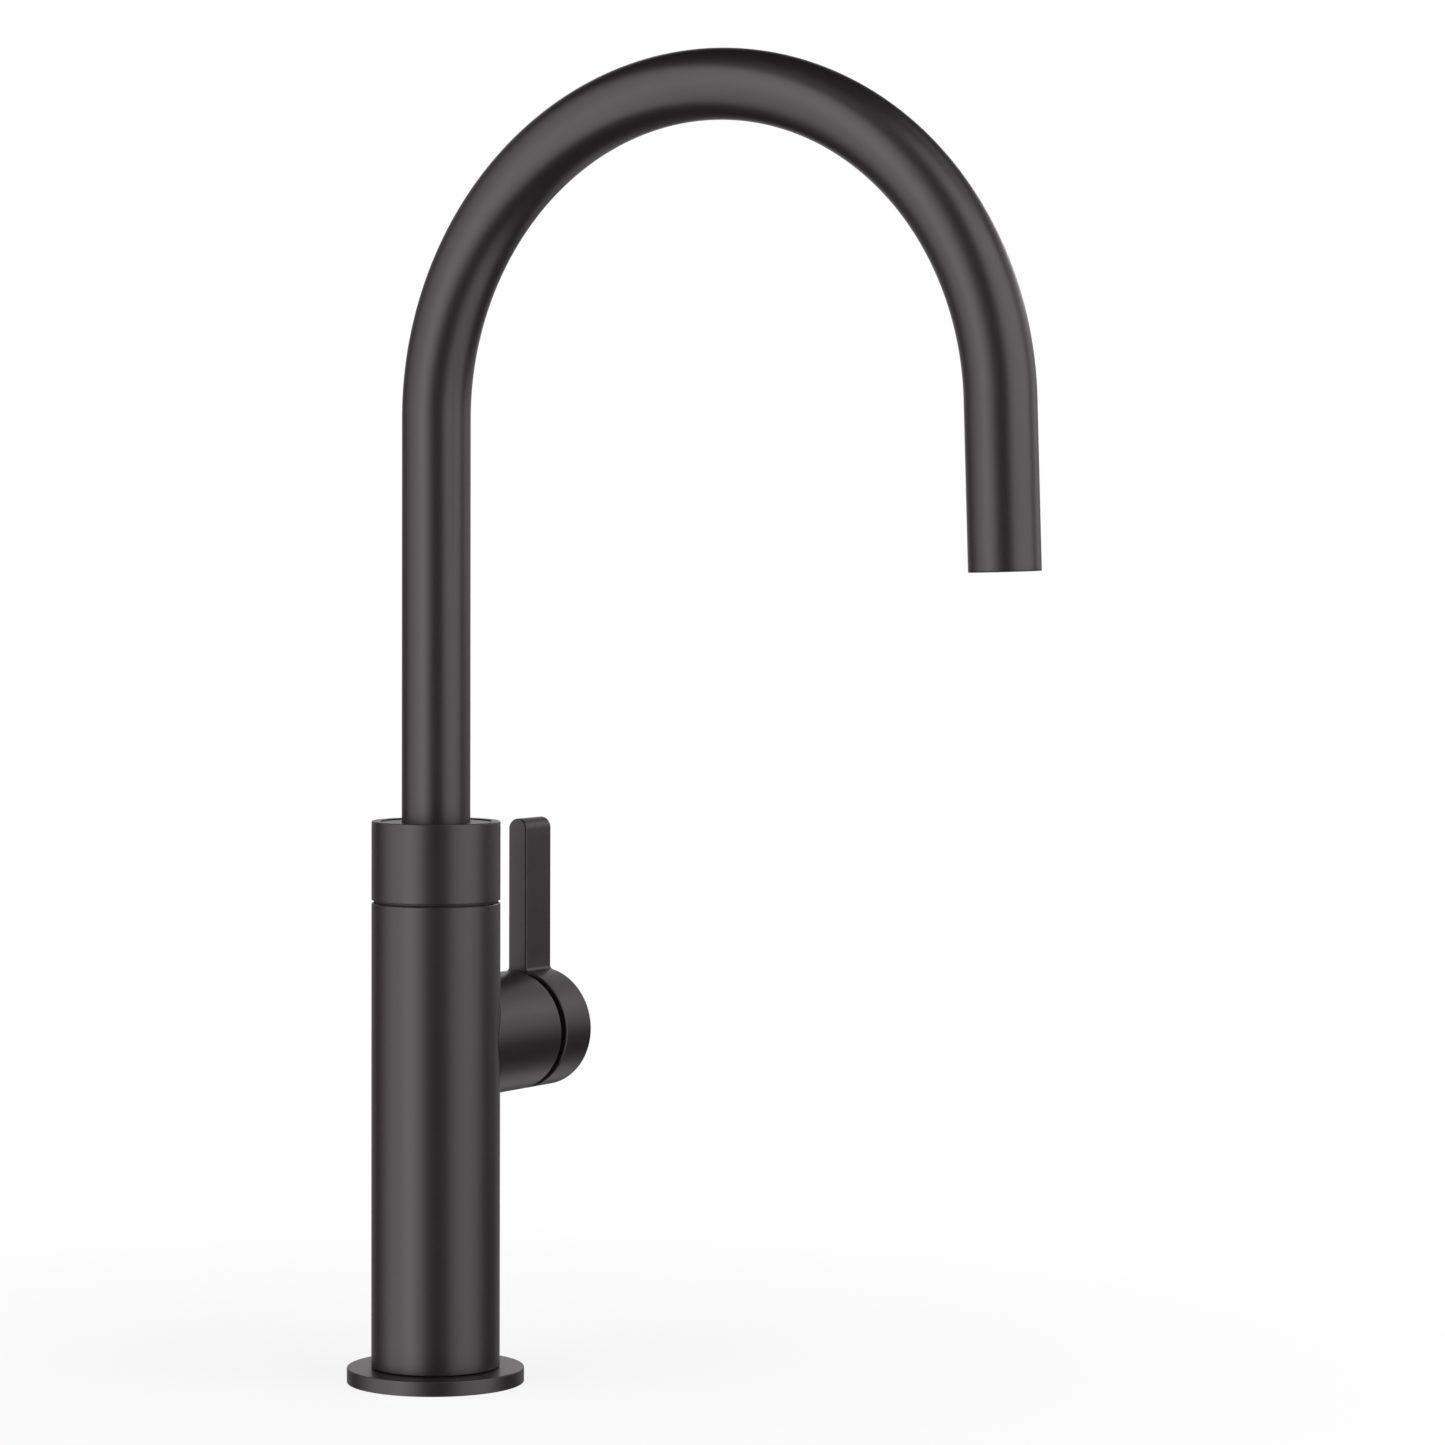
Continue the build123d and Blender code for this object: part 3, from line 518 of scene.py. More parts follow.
class FAUCET_OT_column(bpy.types.Operator):
    """Column: a thin round tube with a bevelled foot and seam, the valve's port and the lock screw's hole"""
    bl_idname = "faucet.make_column"
    bl_label = "Column"

    def execute(self, context):
        size = context.scene.faucet_column
        inner = size.radius - size.wall
        cap_low = size.top - size.cap_height
        screw = (low("spout_lock_screw") + high("spout_lock_screw")) / 2
        screw_radius = high("spout_lock_screw")[0] + SEATED
        screw_rows = screw[2] + np.linspace(-SCREW_ROOM, SCREW_ROOM, 9) * screw_radius
        port_rows = VALVE_HEIGHT + np.linspace(-PORT_ROOM, PORT_ROOM, 33) * size.port_radius
        walls = np.concatenate([port_rows, screw_rows])
        corners = [
            (size.radius - size.foot_bevel, size.foot, BROKEN),
            (size.radius, size.foot + size.foot_bevel, 0.1 * MM),
            *((size.radius, height, 0) for height in walls),
            (size.radius, size.top - size.seam_bevel, BROKEN),
            (size.radius - size.seam_bevel, size.top, BROKEN),
            (size.cap_radius, size.top, BROKEN),
            (size.cap_radius, cap_low, BROKEN),
            (inner, cap_low, BROKEN),
            *((inner, height, 0) for height in walls[::-1]),
            (inner, size.foot, BROKEN),
        ]
        profile, worn = rounded(corners, steps=6)
        around = 240
        shell = Shell()
        numbers = shell.add(turned(profile, around), worn[:, None])

        def rows_at(radius, heights):
            """First and last row of the profile between two heights on the wall of that radius."""
            off_wall = ~np.isclose(profile[:, 0], radius, rtol=0, atol=1e-7)
            rows = [int(np.argmin(np.abs(profile[:, 1] - height) + off_wall)) for height in heights[[0, -1]]]
            return min(rows), max(rows)

        def facing(middle, half):
            """First and last column of the grid between middle - half and middle + half."""
            centre, spread = (int(round(angle / (2 * pi) * around)) for angle in (middle, half))
            return centre - spread, centre + spread

        holes = (
            (port_rows, facing(0, PORT_SPREAD), 0, size.port_radius, (0.0, VALVE_HEIGHT)),
            (screw_rows, facing(pi / 2, SCREW_SPREAD), 1, screw_radius, (screw[0], screw[2])),
        )
        keep = np.ones(numbers.shape, bool)
        for heights, columns, axis, radius, centre in holes:
            rims = []
            for wall in (size.radius, inner):
                block = rows_at(wall, heights), columns
                take_block(keep, *block)
                rims.append(pierce(shell, numbers, *block, lambda p: p[:, [1 - axis, 2]],
                                   lambda q: on_round_wall(q, wall, axis), np.array(centre), radius))
            join_rims(shell, *rims)
        shell.skin(numbers, closed_rows=True, keep=keep)
        shell.finish("column_tube", "column", "column_shell")
        return {"FINISHED"}


def on_round_wall(plan, radius, axis):
    """Lifts plan points (across, height) onto a wall about the column's axis, on the side of +X or +Y."""
    across, height = plan[..., 0], plan[..., 1]
    depth = np.sqrt(radius ** 2 - across ** 2)
    order = (depth, across, height) if axis == 0 else (across, depth, height)
    return np.stack(order, axis=-1)


class FAUCET_OT_collar(bpy.types.Operator):
    """Swivel collar and the flat ring set into its top"""
    bl_idname = "faucet.make_collar"
    bl_label = "Swivel collar"

    def execute(self, context):
        size = context.scene.faucet_collar
        insert_low, insert_high = low("collar_insert"), high("collar_insert")
        seat = insert_high[0] + SEATED
        tube = TUBE_RADIUS + SEATED
        web_top = size.seat_low + size.web
        edge = size.insert_edge
        corners = [
            (size.bore, size.foot, BROKEN),
            (size.radius, size.foot, size.foot_bevel),
            (size.radius, size.top, size.rim_rounding),
            (seat, size.top, edge),
            (seat, insert_low[2], BROKEN),
            (size.bore, insert_low[2], BROKEN),
            (size.bore, web_top, BROKEN),
            (tube, web_top, BROKEN),
            (tube, size.seat_low, BROKEN),
            (size.bore, size.seat_low, BROKEN),
        ]
        turned_piece(corners, 240, "collar_shell", "spout", "swivel_collar")
        corners = [
            (tube, insert_low[2], BROKEN),
            (insert_high[0], insert_low[2], BROKEN),
            (insert_high[0], size.insert_top, edge),
            (tube, size.insert_top, edge),
        ]
        turned_piece(corners, 200, "collar_ring", "spout", "collar_insert")
        return {"FINISHED"}


class FAUCET_OT_glide_ring(bpy.types.Operator):
    """Plastic glide ring in the swivel seam, with a groove round its foot that stays dark"""
    bl_idname = "faucet.make_glide_ring"
    bl_label = "Glide ring"

    def execute(self, context):
        size = context.scene.faucet_collar
        inside = size.glide_bore
        foot, (outside, _, top) = low("glide_ring")[2], high("glide_ring")
        outline = [
            (inside, foot),
            (outside - size.groove_depth, foot),
            (outside - size.groove_depth, foot + size.groove),
            (outside, foot + size.groove),
            (outside, top),
            (inside, top),
        ]
        corners = [(*place, RING_BROKEN) for place in outline]
        look = {"slot": "black_plastic", "material": ring_plastic()}
        turned_piece(corners, 240, "seam_ring", "column", "glide_ring", **look)
        return {"FINISHED"}


def along_spout(distance, size):
    """Middle line of the gooseneck at distances along it: straight riser, arc, straight leg.

    On the arc, t = (distance - riser) / bend radius: the point is (0, -R (1 - cos t), spring + R sin t), and
    the outward direction is (0, cos t, sin t). Past the arc the line goes straight on. Returns points and
    directions.
    """
    riser = size.spring - size.start
    full = pi - size.lean
    turn = np.clip((distance - riser) / size.bend, 0, full)
    before = np.minimum(distance - riser, 0)
    after = np.maximum(distance - riser - full * size.bend, 0)
    y = -size.bend * (1 - np.cos(turn)) - np.sin(turn) * after
    z = size.spring + size.bend * np.sin(turn) + before + np.cos(turn) * after
    points = np.stack([0 * y, y, z], axis=-1)
    outward = np.stack([0 * turn, np.cos(turn), np.sin(turn)], axis=-1)
    return points, outward


class FAUCET_OT_spout(bpy.types.Operator):
    """Gooseneck: one tube wall carried along a riser, a bend and a leg, with a softly rounded mouth"""
    bl_idname = "faucet.make_spout"
    bl_label = "Gooseneck"

    def execute(self, context):
        size = context.scene.faucet_spout
        around = 112
        riser = size.spring - size.start
        bend = (pi - size.lean) * size.bend
        whole = riser + bend + size.leg
        outer, inner = size.radius, size.radius - size.wall
        stations = np.concatenate([
            np.linspace(GUARD, riser, 24, endpoint=False),
            np.linspace(riser, riser + bend, 178, endpoint=False),
            np.linspace(riser + bend, whole - 1.0 * MM, 10),
        ])
        lip = size.lip
        quarter = np.linspace(0, pi / 2, 7)
        mouth = np.concatenate([
            np.stack([outer - lip * (1 - np.cos(quarter)), whole - lip * (1 - np.sin(quarter))], axis=1),
            np.stack([inner + lip * (1 - np.sin(quarter)), whole - lip * (1 - np.cos(quarter))], axis=1),
        ])
        profile = np.concatenate([
            np.stack([0 * stations + outer, stations], axis=1),
            mouth,
            np.stack([0 * stations + inner, stations], axis=1)[::-1][::3],
            [[inner, 0.0], [outer, 0.0]],
        ])
        worn = np.zeros(len(profile))
        worn[len(stations):len(stations) + len(mouth)] = np.sin(np.linspace(0, pi, len(mouth)))
        middle, outward = along_spout(profile[:, 1], size)
        angle = np.linspace(0, 2 * pi, around, endpoint=False)[None, :, None]
        across = np.array([1.0, 0.0, 0.0])
        ring = across * np.cos(angle) + outward[:, None] * np.sin(angle)
        shell = Shell()
        shell.skin(shell.add(middle[:, None] + profile[:, :1, None] * ring, worn[:, None]), closed_rows=True)
        shell.finish("gooseneck", "spout", "spout_tube")
        return {"FINISHED"}


class FAUCET_OT_housing(bpy.types.Operator):
    """Valve housing: a round sleeve saddled on the column, with a clamping lip inside"""
    bl_idname = "faucet.make_housing"
    bl_label = "Valve housing"

    def execute(self, context):
        size = context.scene.faucet_housing
        saddle = context.scene.faucet_column.radius + SEATED
        bore = size.radius - size.wall
        rim, lip_in, lip_out = size.rounding, size.lip_start, size.lip_end
        quarter = np.linspace(0, pi / 2, 7)
        rows = []

        def row(radius, place, on_saddle=0.0, edge=0.0):
            """A ring: x = its share of the saddle's curve + the rest of a flat place."""
            rows.append((radius, place, on_saddle, edge))

        for part in (1.0, 0.995, 0.9, 0.75, 0.6, 0.45, 0.3, 0.15, 0.01, 0.0):
            row(size.radius, size.end - rim - GUARD, part)
        for a in quarter:
            row(size.radius - rim * (1 - cos(a)), size.end - rim * (1 - sin(a)), edge=sin(2 * a))
        for a in quarter:
            row(bore + BROKEN * (1 - sin(a)), size.end - BROKEN * (1 - cos(a)))
        row(bore, size.end - 2 * BROKEN)
        row(bore, lip_out + BROKEN)
        row(bore - BROKEN, lip_out)
        row(size.lip_bore + BROKEN, lip_out)
        row(size.lip_bore, lip_out - BROKEN)
        row(size.lip_bore, lip_in + BROKEN)
        row(size.lip_bore + BROKEN, lip_in)
        row(bore - BROKEN, lip_in)
        for part in (0.0, 0.5, 0.99, 1.0):
            row(bore, lip_in - BROKEN, part)
        row(bore + size.wall / 2, 0.0, 1.0)
        radius, place, part, worn = np.array(rows).T[:, :, None]
        angle = np.linspace(0, 2 * pi, 240, endpoint=False)[None]
        y, z = radius * np.cos(angle), radius * np.sin(angle)
        on_column = np.sqrt(saddle ** 2 - y ** 2)
        x = part * on_column + (1 - part) * place
        shell = Shell()
        shell.skin(shell.add(np.stack([x, y, size.height + z], axis=-1), worn), closed_rows=True)
        shell.finish("valve_sleeve", "column", "valve_housing")
        return {"FINISHED"}


def lever_outline(size):
    """Outline of knob and lever seen along the valve's axis, with the outward direction at each point.

    Knob arc, fillet, straight side, round tip, straight side, fillet. The fillet's middle lies at half width
    + root from the lever's middle line and at knob radius + root from the axis.
    """
    half, root, knob = size.width / 2, size.root, size.radius
    side = half + root
    rise = sqrt((knob + root) ** 2 - side ** 2)
    lean = atan2(side, rise)
    tip = size.tip - half
    parts, ways = [], []

    def curve(centre, radius, start, end, steps, sign=1.0):
        """An arc, whose outward direction is away from its centre, or towards it with sign -1."""
        points = arc(centre, radius, start, end, steps)
        parts.append(points)
        ways.append(sign * (points - np.array(centre)) / radius)

    def straight(start, end, steps, way):
        """Even points between two ends, which the arcs beside it hold already."""
        t = np.linspace(0, 1, steps + 2)[1:-1, None]
        parts.append((1 - t) * np.array(start) + t * np.array(end))
        ways.append(np.tile(way, (steps, 1)))

    curve((0, 0), knob, pi / 2 + lean, 2.5 * pi - lean, 221)
    curve((side, rise), root, 1.5 * pi - lean, pi, 8, sign=-1.0)
    straight((half, rise), (half, tip), 12, (1.0, 0.0))
    curve((0, tip), half, 0, pi, 33)
    straight((-half, tip), (-half, rise), 12, (-1.0, 0.0))
    curve((-side, rise), root, 0, -pi / 2 + lean, 8, sign=-1.0)
    outline, way = np.concatenate(parts), np.concatenate(ways)
    double = np.linalg.norm(outline - np.roll(outline, 1, axis=0), axis=1) < 1e-9
    return outline[~double], way[~double]


class FAUCET_OT_lever(bpy.types.Operator):
    """Knob and upright lever in one piece, with soft edges, the boss inside and the set screw's hole"""
    bl_idname = "faucet.make_lever"
    bl_label = "Lever and knob"

    def execute(self, context):
        size = context.scene.faucet_lever
        outline, way = lever_outline(size)
        start = size.end - size.thickness
        rim, small = size.rounding, INNER_BROKEN
        quarter = np.linspace(0, pi / 2, 8)
        polar = outline / np.linalg.norm(outline, axis=1, keepdims=True)
        rings, places, worn = [], [], []

        def ring(points, place, edge=0.0):
            """One more ring of the skin, in a plane across the valve's axis."""
            rings.append(points)
            places.append(place)
            worn.append(edge)

        inset = outline - way * rim
        for part in (0.25, 0.5, 0.75, 0.93):
            ring(inset * part, size.end)
        ring(outline - way * (rim + GUARD), size.end)
        for a in quarter[::-1]:
            ring(outline - way * rim * (1 - cos(a)), size.end - rim * (1 - sin(a)), sin(2 * a))
        screw = (low("handle_set_screw") + high("handle_set_screw")) / 2
        screw_radius = high("handle_set_screw")[1] + SEATED
        wall_rows = screw[0] + np.linspace(SET_SCREW_ROOM, -SET_SCREW_ROOM, 9) * screw_radius
        side_rows = np.concatenate([[size.end - rim - GUARD], wall_rows, [start + rim + GUARD]])
        first_side = len(rings)
        for place in side_rows:
            ring(outline, place)
        for a in quarter:
            ring(outline - way * rim * (1 - cos(a)), start + rim * (1 - sin(a)), sin(2 * a))
        ring(outline - way * (rim + GUARD), start)
        for part in (0.3, 0.65, 0.97):
            ring(inset * (1 - part) + polar * (size.boss + small) * part, start)
        ring(polar * (size.boss + small), start)
        for a in quarter[1:]:
            ring(polar * (size.boss + small * (1 - sin(a))), start - small * (1 - cos(a)))
        for a in quarter:
            ring(polar * (size.boss - small * (1 - cos(a))), size.boss_start + small * (1 - sin(a)))
        for a in quarter:
            ring(polar * (size.bore + small * (1 - sin(a))), size.boss_start + small * (1 - cos(a)))
        floor = size.end - size.face
        first_bore = len(rings)
        for place in wall_rows[::-1]:
            ring(polar * size.bore, place)
        ring(polar * size.bore, floor - GUARD)
        ring(polar * size.bore, floor)
        ring(polar * (size.bore - GUARD), floor)
        flat = np.stack(rings)
        x = np.broadcast_to(np.array(places)[:, None], flat.shape[:2])
        shell = Shell()
        points = np.stack([x, flat[..., 0], size.height + flat[..., 1]], axis=-1)
        numbers = shell.add(points, np.array(worn)[:, None])
        lowest = int(np.argmin(outline[:, 1]))
        half = int(np.sum(np.abs(np.arctan2(polar[:, 0], -polar[:, 1])) < SET_SCREW_SPREAD) // 2)
        keep = np.ones(numbers.shape, bool)
        rims = []
        for first, wall in ((first_side + 1, size.radius), (first_bore, size.bore)):
            block = (first, first + len(wall_rows) - 1), (lowest - half, lowest + half)
            take_block(keep, *block)

            def under_axis(plan):
                """Lifts plan points (x, y) onto the lower half of a wall about the valve's axis."""
                drop = np.sqrt(wall ** 2 - plan[..., 1:] ** 2)
                return np.concatenate([plan, size.height - drop], axis=-1)

            middle = np.array([screw[0], 0.0])
            rims.append(pierce(shell, numbers, *block, lambda p: p[:, :2], under_axis, middle, screw_radius))
        join_rims(shell, *rims)
        shell.skin(numbers, closed_rows=False, keep=keep)
        shell.cap(numbers[0], (size.end, 0, size.height))
        shell.cap(numbers[-1], (floor, 0, size.height))
        shell.finish("lever_knob", "lever", "lever_handle")
        return {"FINISHED"}


class FAUCET_OT_inner_works(bpy.types.Operator):
    """Finishes of the pieces that stay as the solids are: seals, screws, outlet insert and cartridge"""
    bl_idname = "faucet.finish_inner_works"
    bl_label = "Inner works"

    def execute(self, context):
        looks = {
            "brass": turned_metal("turned_brass", (0.70, 0.50, 0.24), 0.30),
            "stainless": turned_metal("stainless_steel", (0.55, 0.54, 0.53), 0.28),
            "ceramic": moulded("lapped_ceramic", (0.80, 0.78, 0.73), 0.22, 2600.0, 0.005 * MM),
            "seal_rubber": moulded("soft_rubber", (0.018, 0.018, 0.018), 0.62, 1500.0, 0.03 * MM),
            "black_plastic": ring_plastic(),
            "pale_plastic": moulded("pale_moulding", (0.62, 0.62, 0.59), 0.42, 1300.0, 0.02 * MM),
            "anthracite_coat": coat(),
        }
        for entry in RECORD["subparts"]:
            node = frame["nodes"][entry["node"]]
            for slot in node.material_slots:
                slot.material = looks[entry["material_slot"]]
        return {"FINISHED"}


# Studio


def bare_tree(owner):
    """The emptied node tree of a world or a material."""
    owner.use_nodes = True
    owner.node_tree.nodes.clear()
    return owner.node_tree


def stage_sheet(name, points, numbers):
    """A sheet of the studio, over a grid of numbered points, and the emptied tree of its material."""
    quads = np.stack([numbers[:-1, :-1], numbers[1:, :-1], numbers[1:, 1:], numbers[:-1, 1:]], axis=-1)
    mesh = bpy.data.meshes.new(name)
    mesh.from_pydata(points.reshape(-1, 3).tolist(), [], quads.reshape(-1, 4).tolist())
    mesh.materials.append(bpy.data.materials.new(name))
    sheet = bpy.data.objects.new(name, mesh)
    bpy.context.scene.collection.objects.link(sheet)
    return sheet, bare_tree(mesh.materials[0])


def seen_directly(tree):
    """1 for what the camera, a reflection or a clear piece shows, 0 for the light that falls on things."""
    path = new_node(tree, "LightPath").outputs
    seen = new_node(tree, "Math", {0: path["Is Camera Ray"], 1: path["Is Glossy Ray"]}, operation="ADD")
    values = {0: seen.outputs[0], 1: path["Is Transmission Ray"]}
    return new_node(tree, "Math", values, operation="ADD", use_clamp=True).outputs[0]


# The camera as fitted to the photograph: place, angles in degrees, lens and film side in millimetres
CAMERA_PLACE = (-0.90283, -0.61940, 0.19807)
CAMERA_HEADING, CAMERA_TILT, CAMERA_ROLL = -59.034, 2.2925, 0.195
CAMERA_LENS, FILM_SIDE = 117.18, 36.0
CAMERA_AZIMUTH = atan2(CAMERA_PLACE[0], -CAMERA_PLACE[1])

FLOOR_RADIUS, FLOOR_RINGS, FLOOR_AROUND = 1.6, 25, 96
FLOOR_DROP = 0.02 * MM               # how far the floor lies under the flange

STUDIO_MIDDLE = -0.03                # y of the line that the standing lamps face
LAMP_DISTANCE = 0.92

# Standing lamps: turn in degrees to the right of the camera's side, height, width, tallness, brightness
LAMPS = {
    "left_softbox_low": (-60, -0.42, 1.30, 1.15, 1.82),
    "left_softbox_high": (-60, 0.73, 1.30, 1.15, 1.68),
    "left_softbox_core": (-59, 0.73, 0.50, 1.15, 0.56),
    "left_front_strip": (-51, 0.16, 0.30, 2.20, 1.18),
    "left_back_strip": (-104, 0.16, 0.25, 2.20, 0.74),
    "left_strip_high": (-112, 0.62, 0.45, 0.85, 0.41),
    "left_overhead": (-95, 1.15, 0.90, 0.50, 0.21),
    "right_softbox_high": (56, 0.73, 1.20, 1.15, 2.45),
    "right_softbox_low": (56, -0.42, 1.20, 1.15, 1.27),
    "right_softbox_core": (54, -0.42, 0.60, 1.15, 0.61),
    "side_softbox": (115, 0.35, 0.40, 0.35, 0.73),
    "rear_strip": (150, 0.45, 0.48, 0.15, 2.46),
    "rear_softbox": (165, 0.30, 0.40, 0.30, 0.45),
}

# Lamps that hang above and face the bend: turn and rise in degrees, width, tallness, brightness
HUNG_LAMPS = {
    "overhead_right": (45, 58, 0.50, 0.35, 2.01),
    "overhead_side": (105, 50, 0.45, 0.35, 0.69),
    "overhead_left": (-40, 66, 0.60, 0.35, 0.54),
}
HUNG_MIDDLE = Vector((0, -0.06, 0.24))
HUNG_DISTANCE = 0.95

# Lighter parts of the dark surround: turn from and to, rise from and to in degrees, brightness
PANELS = (
    (135, 165, -60, -20, 0.66),
    (165, 195, -60, -20, 0.19),
    (105, 135, -8, 12, 0.63),
    (105, 135, 12, 32, 0.95),
    (135, 150, -20, 32, 0.39),
    (150, 165, -20, 32, 0.29),
    (165, 195, -20, 32, 0.86),
    (195, 210, -20, 32, 0.36),
    (210, 225, -20, 32, 0.24),
    (-45, -15, -50, 50, 0.43),
)
DRAPE_LEVEL = 0.01                   # brightness of the rest of the surround
SURROUND_RADIUS, SURROUND_HEIGHT = 3.0, 0.15
REAR_WARMTH = (1.0, 0.95, 0.96)      # colour of the light from behind the faucet
REAR_TURN = 100                      # degrees from the camera at which "behind" starts


def direction(turn, rise):
    """(sin w cos r, -cos w cos r, sin r): w is the camera's azimuth + turn, r the rise, both in degrees."""
    way, rise = CAMERA_AZIMUTH + np.radians(turn), np.radians(rise)
    flat = np.cos(rise)
    return np.stack([np.sin(way) * flat, -np.cos(way) * flat, np.sin(rise) + 0 * way], axis=-1)


class FAUCET_OT_studio(bpy.types.Operator):
    """Plain pale floor, soft lamps left and right, white backdrop and the camera at the photograph's angle"""
    bl_idname = "faucet.set_studio"
    bl_label = "Studio"

    def execute(self, context):
        setup = context.scene.faucet_studio
        self.backdrop(context.scene)
        self.floor(setup)
        self.surround()
        self.lamps(setup)
        self.camera(context.scene)
        context.scene.view_settings.view_transform = "Standard"
        return {"FINISHED"}

    def backdrop(self, scene):
        """A world that is plain white where it is seen and lights nothing."""
        scene.world = bpy.data.worlds.new("studio")
        tree = bare_tree(scene.world)
        room = new_node(tree, "Background", {"Strength": 0.0})
        white = new_node(tree, "Background", {"Color": (1, 1, 1, 1), "Strength": 1.0})
        mix = new_node(tree, "MixShader", {0: seen_directly(tree), 1: room.outputs[0], 2: white.outputs[0]})
        new_node(tree, "OutputWorld", {"Surface": mix.outputs[0]})

    def floor(self, setup):
        """A pale disc, a mix of shaded floor and glow that is all glow far from the faucet."""
        radius = np.linspace(0, 1, FLOOR_RINGS)[:, None] ** 1.5 * FLOOR_RADIUS
        angle = np.linspace(0, 2 * pi, FLOOR_AROUND, endpoint=False)[None]
        across, along = radius * np.cos(angle), radius * np.sin(angle)
        points = np.stack([across, along, 0 * across - FLOOR_DROP], axis=-1)
        numbers = np.arange(across.size).reshape(across.shape)
        sheet, tree = stage_sheet("floor", points, np.concatenate([numbers, numbers[:, :1]], axis=1))
        matt = new_node(tree, "BsdfDiffuse", {"Color": (*setup.floor, 1)})
        glow = new_node(tree, "Emission", {"Strength": 1.0})
        places = new_node(tree, "TexCoord").outputs["Object"]
        distance = new_node(tree, "VectorMath", {0: places}, operation="LENGTH").outputs["Value"]
        fade = new_node(tree, "MapRange", {
            "Value": distance,
            "From Min": setup.shadow_start,
            "From Max": setup.shadow_reach,
            "To Min": 1.0 - setup.shadow,
            "To Max": 1.0,
        }, interpolation_type="SMOOTHSTEP").outputs["Result"]
        glowing = new_node(tree, "Math", {0: seen_directly(tree), 1: fade}, operation="MULTIPLY").outputs[0]
        mix = new_node(tree, "MixShader", {0: glowing, 1: matt.outputs[0], 2: glow.outputs[0]})
        new_node(tree, "OutputMaterial", {"Surface": mix.outputs[0]})
        sheet.visible_glossy = sheet.visible_shadow = False

    def surround(self):
        """Dark drapes all round, seen only in reflections, with the lighter panels set into them."""
        turn, rise = np.arange(-180, 181, 5.0)[:, None], np.arange(-90, 91, 4.0)[None]
        points = SURROUND_RADIUS * direction(turn, rise) + (0, 0, SURROUND_HEIGHT)
        numbers = np.arange(points[..., 0].size).reshape(points.shape[:2])
        turns, rises = np.broadcast_arrays((turn[:-1] + turn[1:]) / 2, (rise[:, :-1] + rise[:, 1:]) / 2)
        level = np.full(turns.shape, DRAPE_LEVEL)
        for start, end, low_rise, high_rise, brightness in PANELS:
            inside = ((turns - start) % 360 < end - start) & (rises > low_rise) & (rises < high_rise)
            level[inside] = brightness
        sheet, tree = stage_sheet("surround", points, numbers)
        levels = new_node(tree, "Attribute", attribute_name="level").outputs["Fac"]
        glow = new_node(tree, "Emission", {"Color": (*REAR_WARMTH, 1.0), "Strength": levels})
        new_node(tree, "OutputMaterial", {"Surface": glow.outputs[0]})
        face_levels = sheet.data.attributes.new("level", "FLOAT", "FACE")
        face_levels.data.foreach_set("value", level.reshape(-1).astype(np.float32))
        for use in ("camera", "diffuse", "shadow", "transmission"):
            setattr(sheet, "visible_" + use, False)

    def lamps(self, setup):
        """Soft lamps round the faucet and above it, warmer behind it, which the camera doesn't see."""
        for name, (turn, height, *face) in LAMPS.items():
            aim = Vector((0, STUDIO_MIDDLE, height))
            colour = REAR_WARMTH if abs(turn) > REAR_TURN else (1, 1, 1)
            self.lamp(setup, name, aim, turn, 0, LAMP_DISTANCE, face, colour)
        for name, (turn, rise, *face) in HUNG_LAMPS.items():
            self.lamp(setup, name, HUNG_MIDDLE, turn, rise, HUNG_DISTANCE, face, (1, 1, 1))

    def lamp(self, setup, name, aim, turn, rise, distance, face, colour):
        """One soft lamp, at a distance and direction from the point it faces: power = pi area brightness."""
        width, tall, level = face
        data = bpy.data.lights.new(name, "AREA")
        data.shape = "RECTANGLE"
        data.size, data.size_y = width, tall
        data.energy = pi * width * tall * level * (setup.left_level if turn < 0 else setup.right_level)
        data.color = colour
        way = Vector(direction(turn, rise))
        lamp = bpy.data.objects.new(name, data)
        lamp.location = aim + distance * way
        lamp.rotation_euler = (-way).to_track_quat("-Z", "Y").to_euler()
        lamp.visible_camera = False
        bpy.context.scene.collection.objects.link(lamp)

    def camera(self, scene):
        """The fitted pinhole camera: heading, then tilt down from level, then roll."""
        data = bpy.data.cameras.new("camera")
        data.sensor_width, data.lens = FILM_SIDE, CAMERA_LENS
        data.clip_start, data.clip_end = 0.05, 20.0
        camera = bpy.data.objects.new("camera", data)
        camera.location = CAMERA_PLACE
        heading = Matrix.Rotation(radians(CAMERA_HEADING), 3, "Z")
        tilt = Matrix.Rotation(radians(90 - CAMERA_TILT), 3, "X")
        roll = Matrix.Rotation(radians(CAMERA_ROLL), 3, "Z")
        camera.rotation_euler = (heading @ tilt @ roll).to_euler()
        scene.collection.objects.link(camera)
        scene.camera = camera


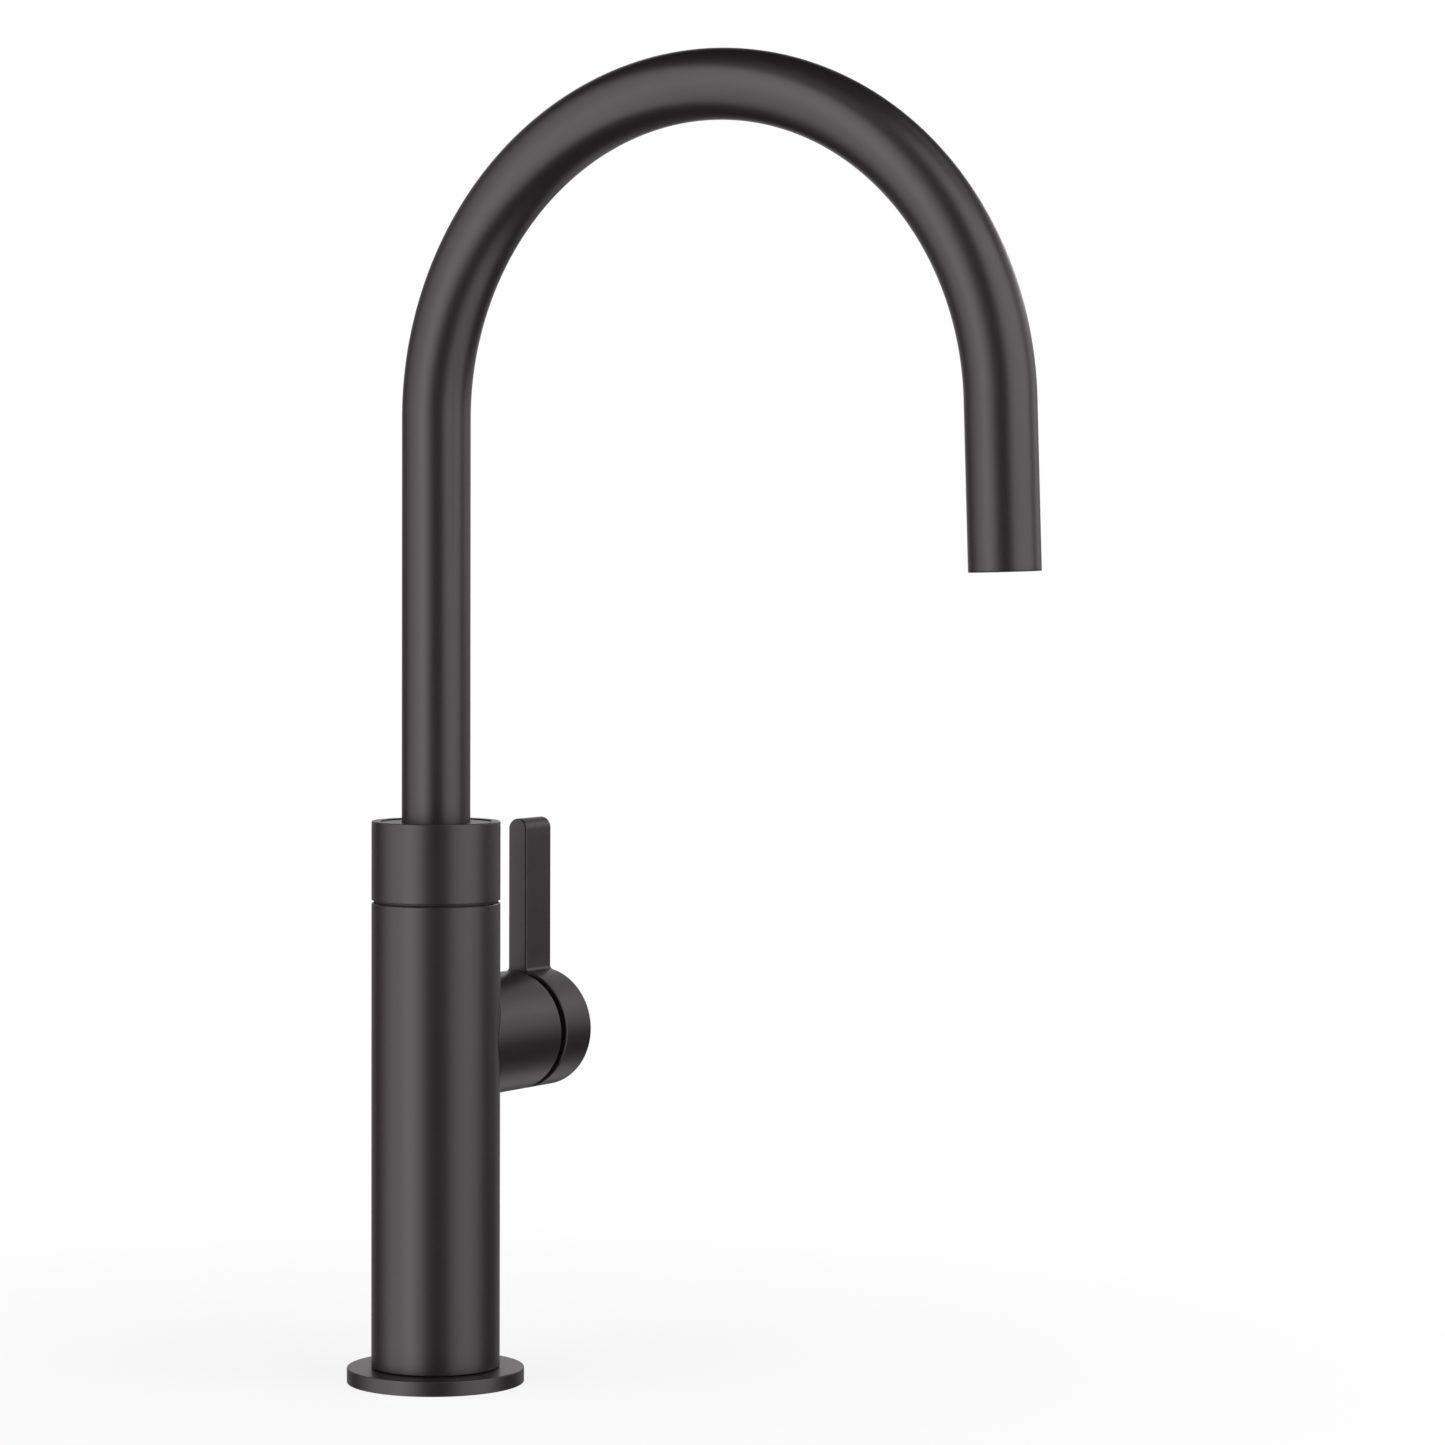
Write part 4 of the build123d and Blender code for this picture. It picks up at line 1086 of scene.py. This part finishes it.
class FAUCET_PT_sidebar(bpy.types.Panel):
    """Lists the faucet's sizes, looks and pieces"""
    bl_idname = "FAUCET_PT_sidebar"
    bl_label = "Beverage faucet"
    bl_space_type = "VIEW_3D"
    bl_region_type = "UI"
    bl_category = "Faucet"

    def draw(self, context):
        for title, name, group, operators in PARTS:
            box = self.layout.box()
            box.label(text=title)
            for setting in group.__annotations__:
                box.prop(getattr(context.scene, name), setting)
            for operator in operators:
                box.operator(operator.bl_idname)


PARTS = (
    ("Deck flange", "faucet_flange", FlangeSizes, (FAUCET_OT_flange,)),
    ("Column", "faucet_column", ColumnSizes, (FAUCET_OT_column,)),
    ("Swivel collar", "faucet_collar", CollarSizes, (FAUCET_OT_collar, FAUCET_OT_glide_ring)),
    ("Gooseneck", "faucet_spout", SpoutSizes, (FAUCET_OT_spout,)),
    ("Valve housing", "faucet_housing", HousingSizes, (FAUCET_OT_housing,)),
    ("Lever", "faucet_lever", LeverSizes, (FAUCET_OT_lever,)),
    ("Finish", "faucet_coat", CoatLook, (FAUCET_OT_inner_works,)),
    ("Studio", "faucet_studio", StudioSetup, (FAUCET_OT_studio,)),
)


def register():
    for title, name, group, operators in PARTS:
        bpy.utils.register_class(group)
        setattr(bpy.types.Scene, name, PointerProperty(type=group))
        for operator in operators:
            bpy.utils.register_class(operator)
    bpy.utils.register_class(FAUCET_PT_sidebar)


def unregister():
    bpy.utils.unregister_class(FAUCET_PT_sidebar)
    for title, name, group, operators in reversed(PARTS):
        for operator in reversed(operators):
            bpy.utils.unregister_class(operator)
        delattr(bpy.types.Scene, name)
        bpy.utils.unregister_class(group)


def main():
    register()
    bpy.ops.faucet.make_flange()
    bpy.ops.faucet.make_column()
    bpy.ops.faucet.make_collar()
    bpy.ops.faucet.make_glide_ring()
    bpy.ops.faucet.make_spout()
    bpy.ops.faucet.make_housing()
    bpy.ops.faucet.make_lever()
    bpy.ops.faucet.finish_inner_works()
    bpy.ops.faucet.set_studio()


if __name__ == "__main__":
    main()
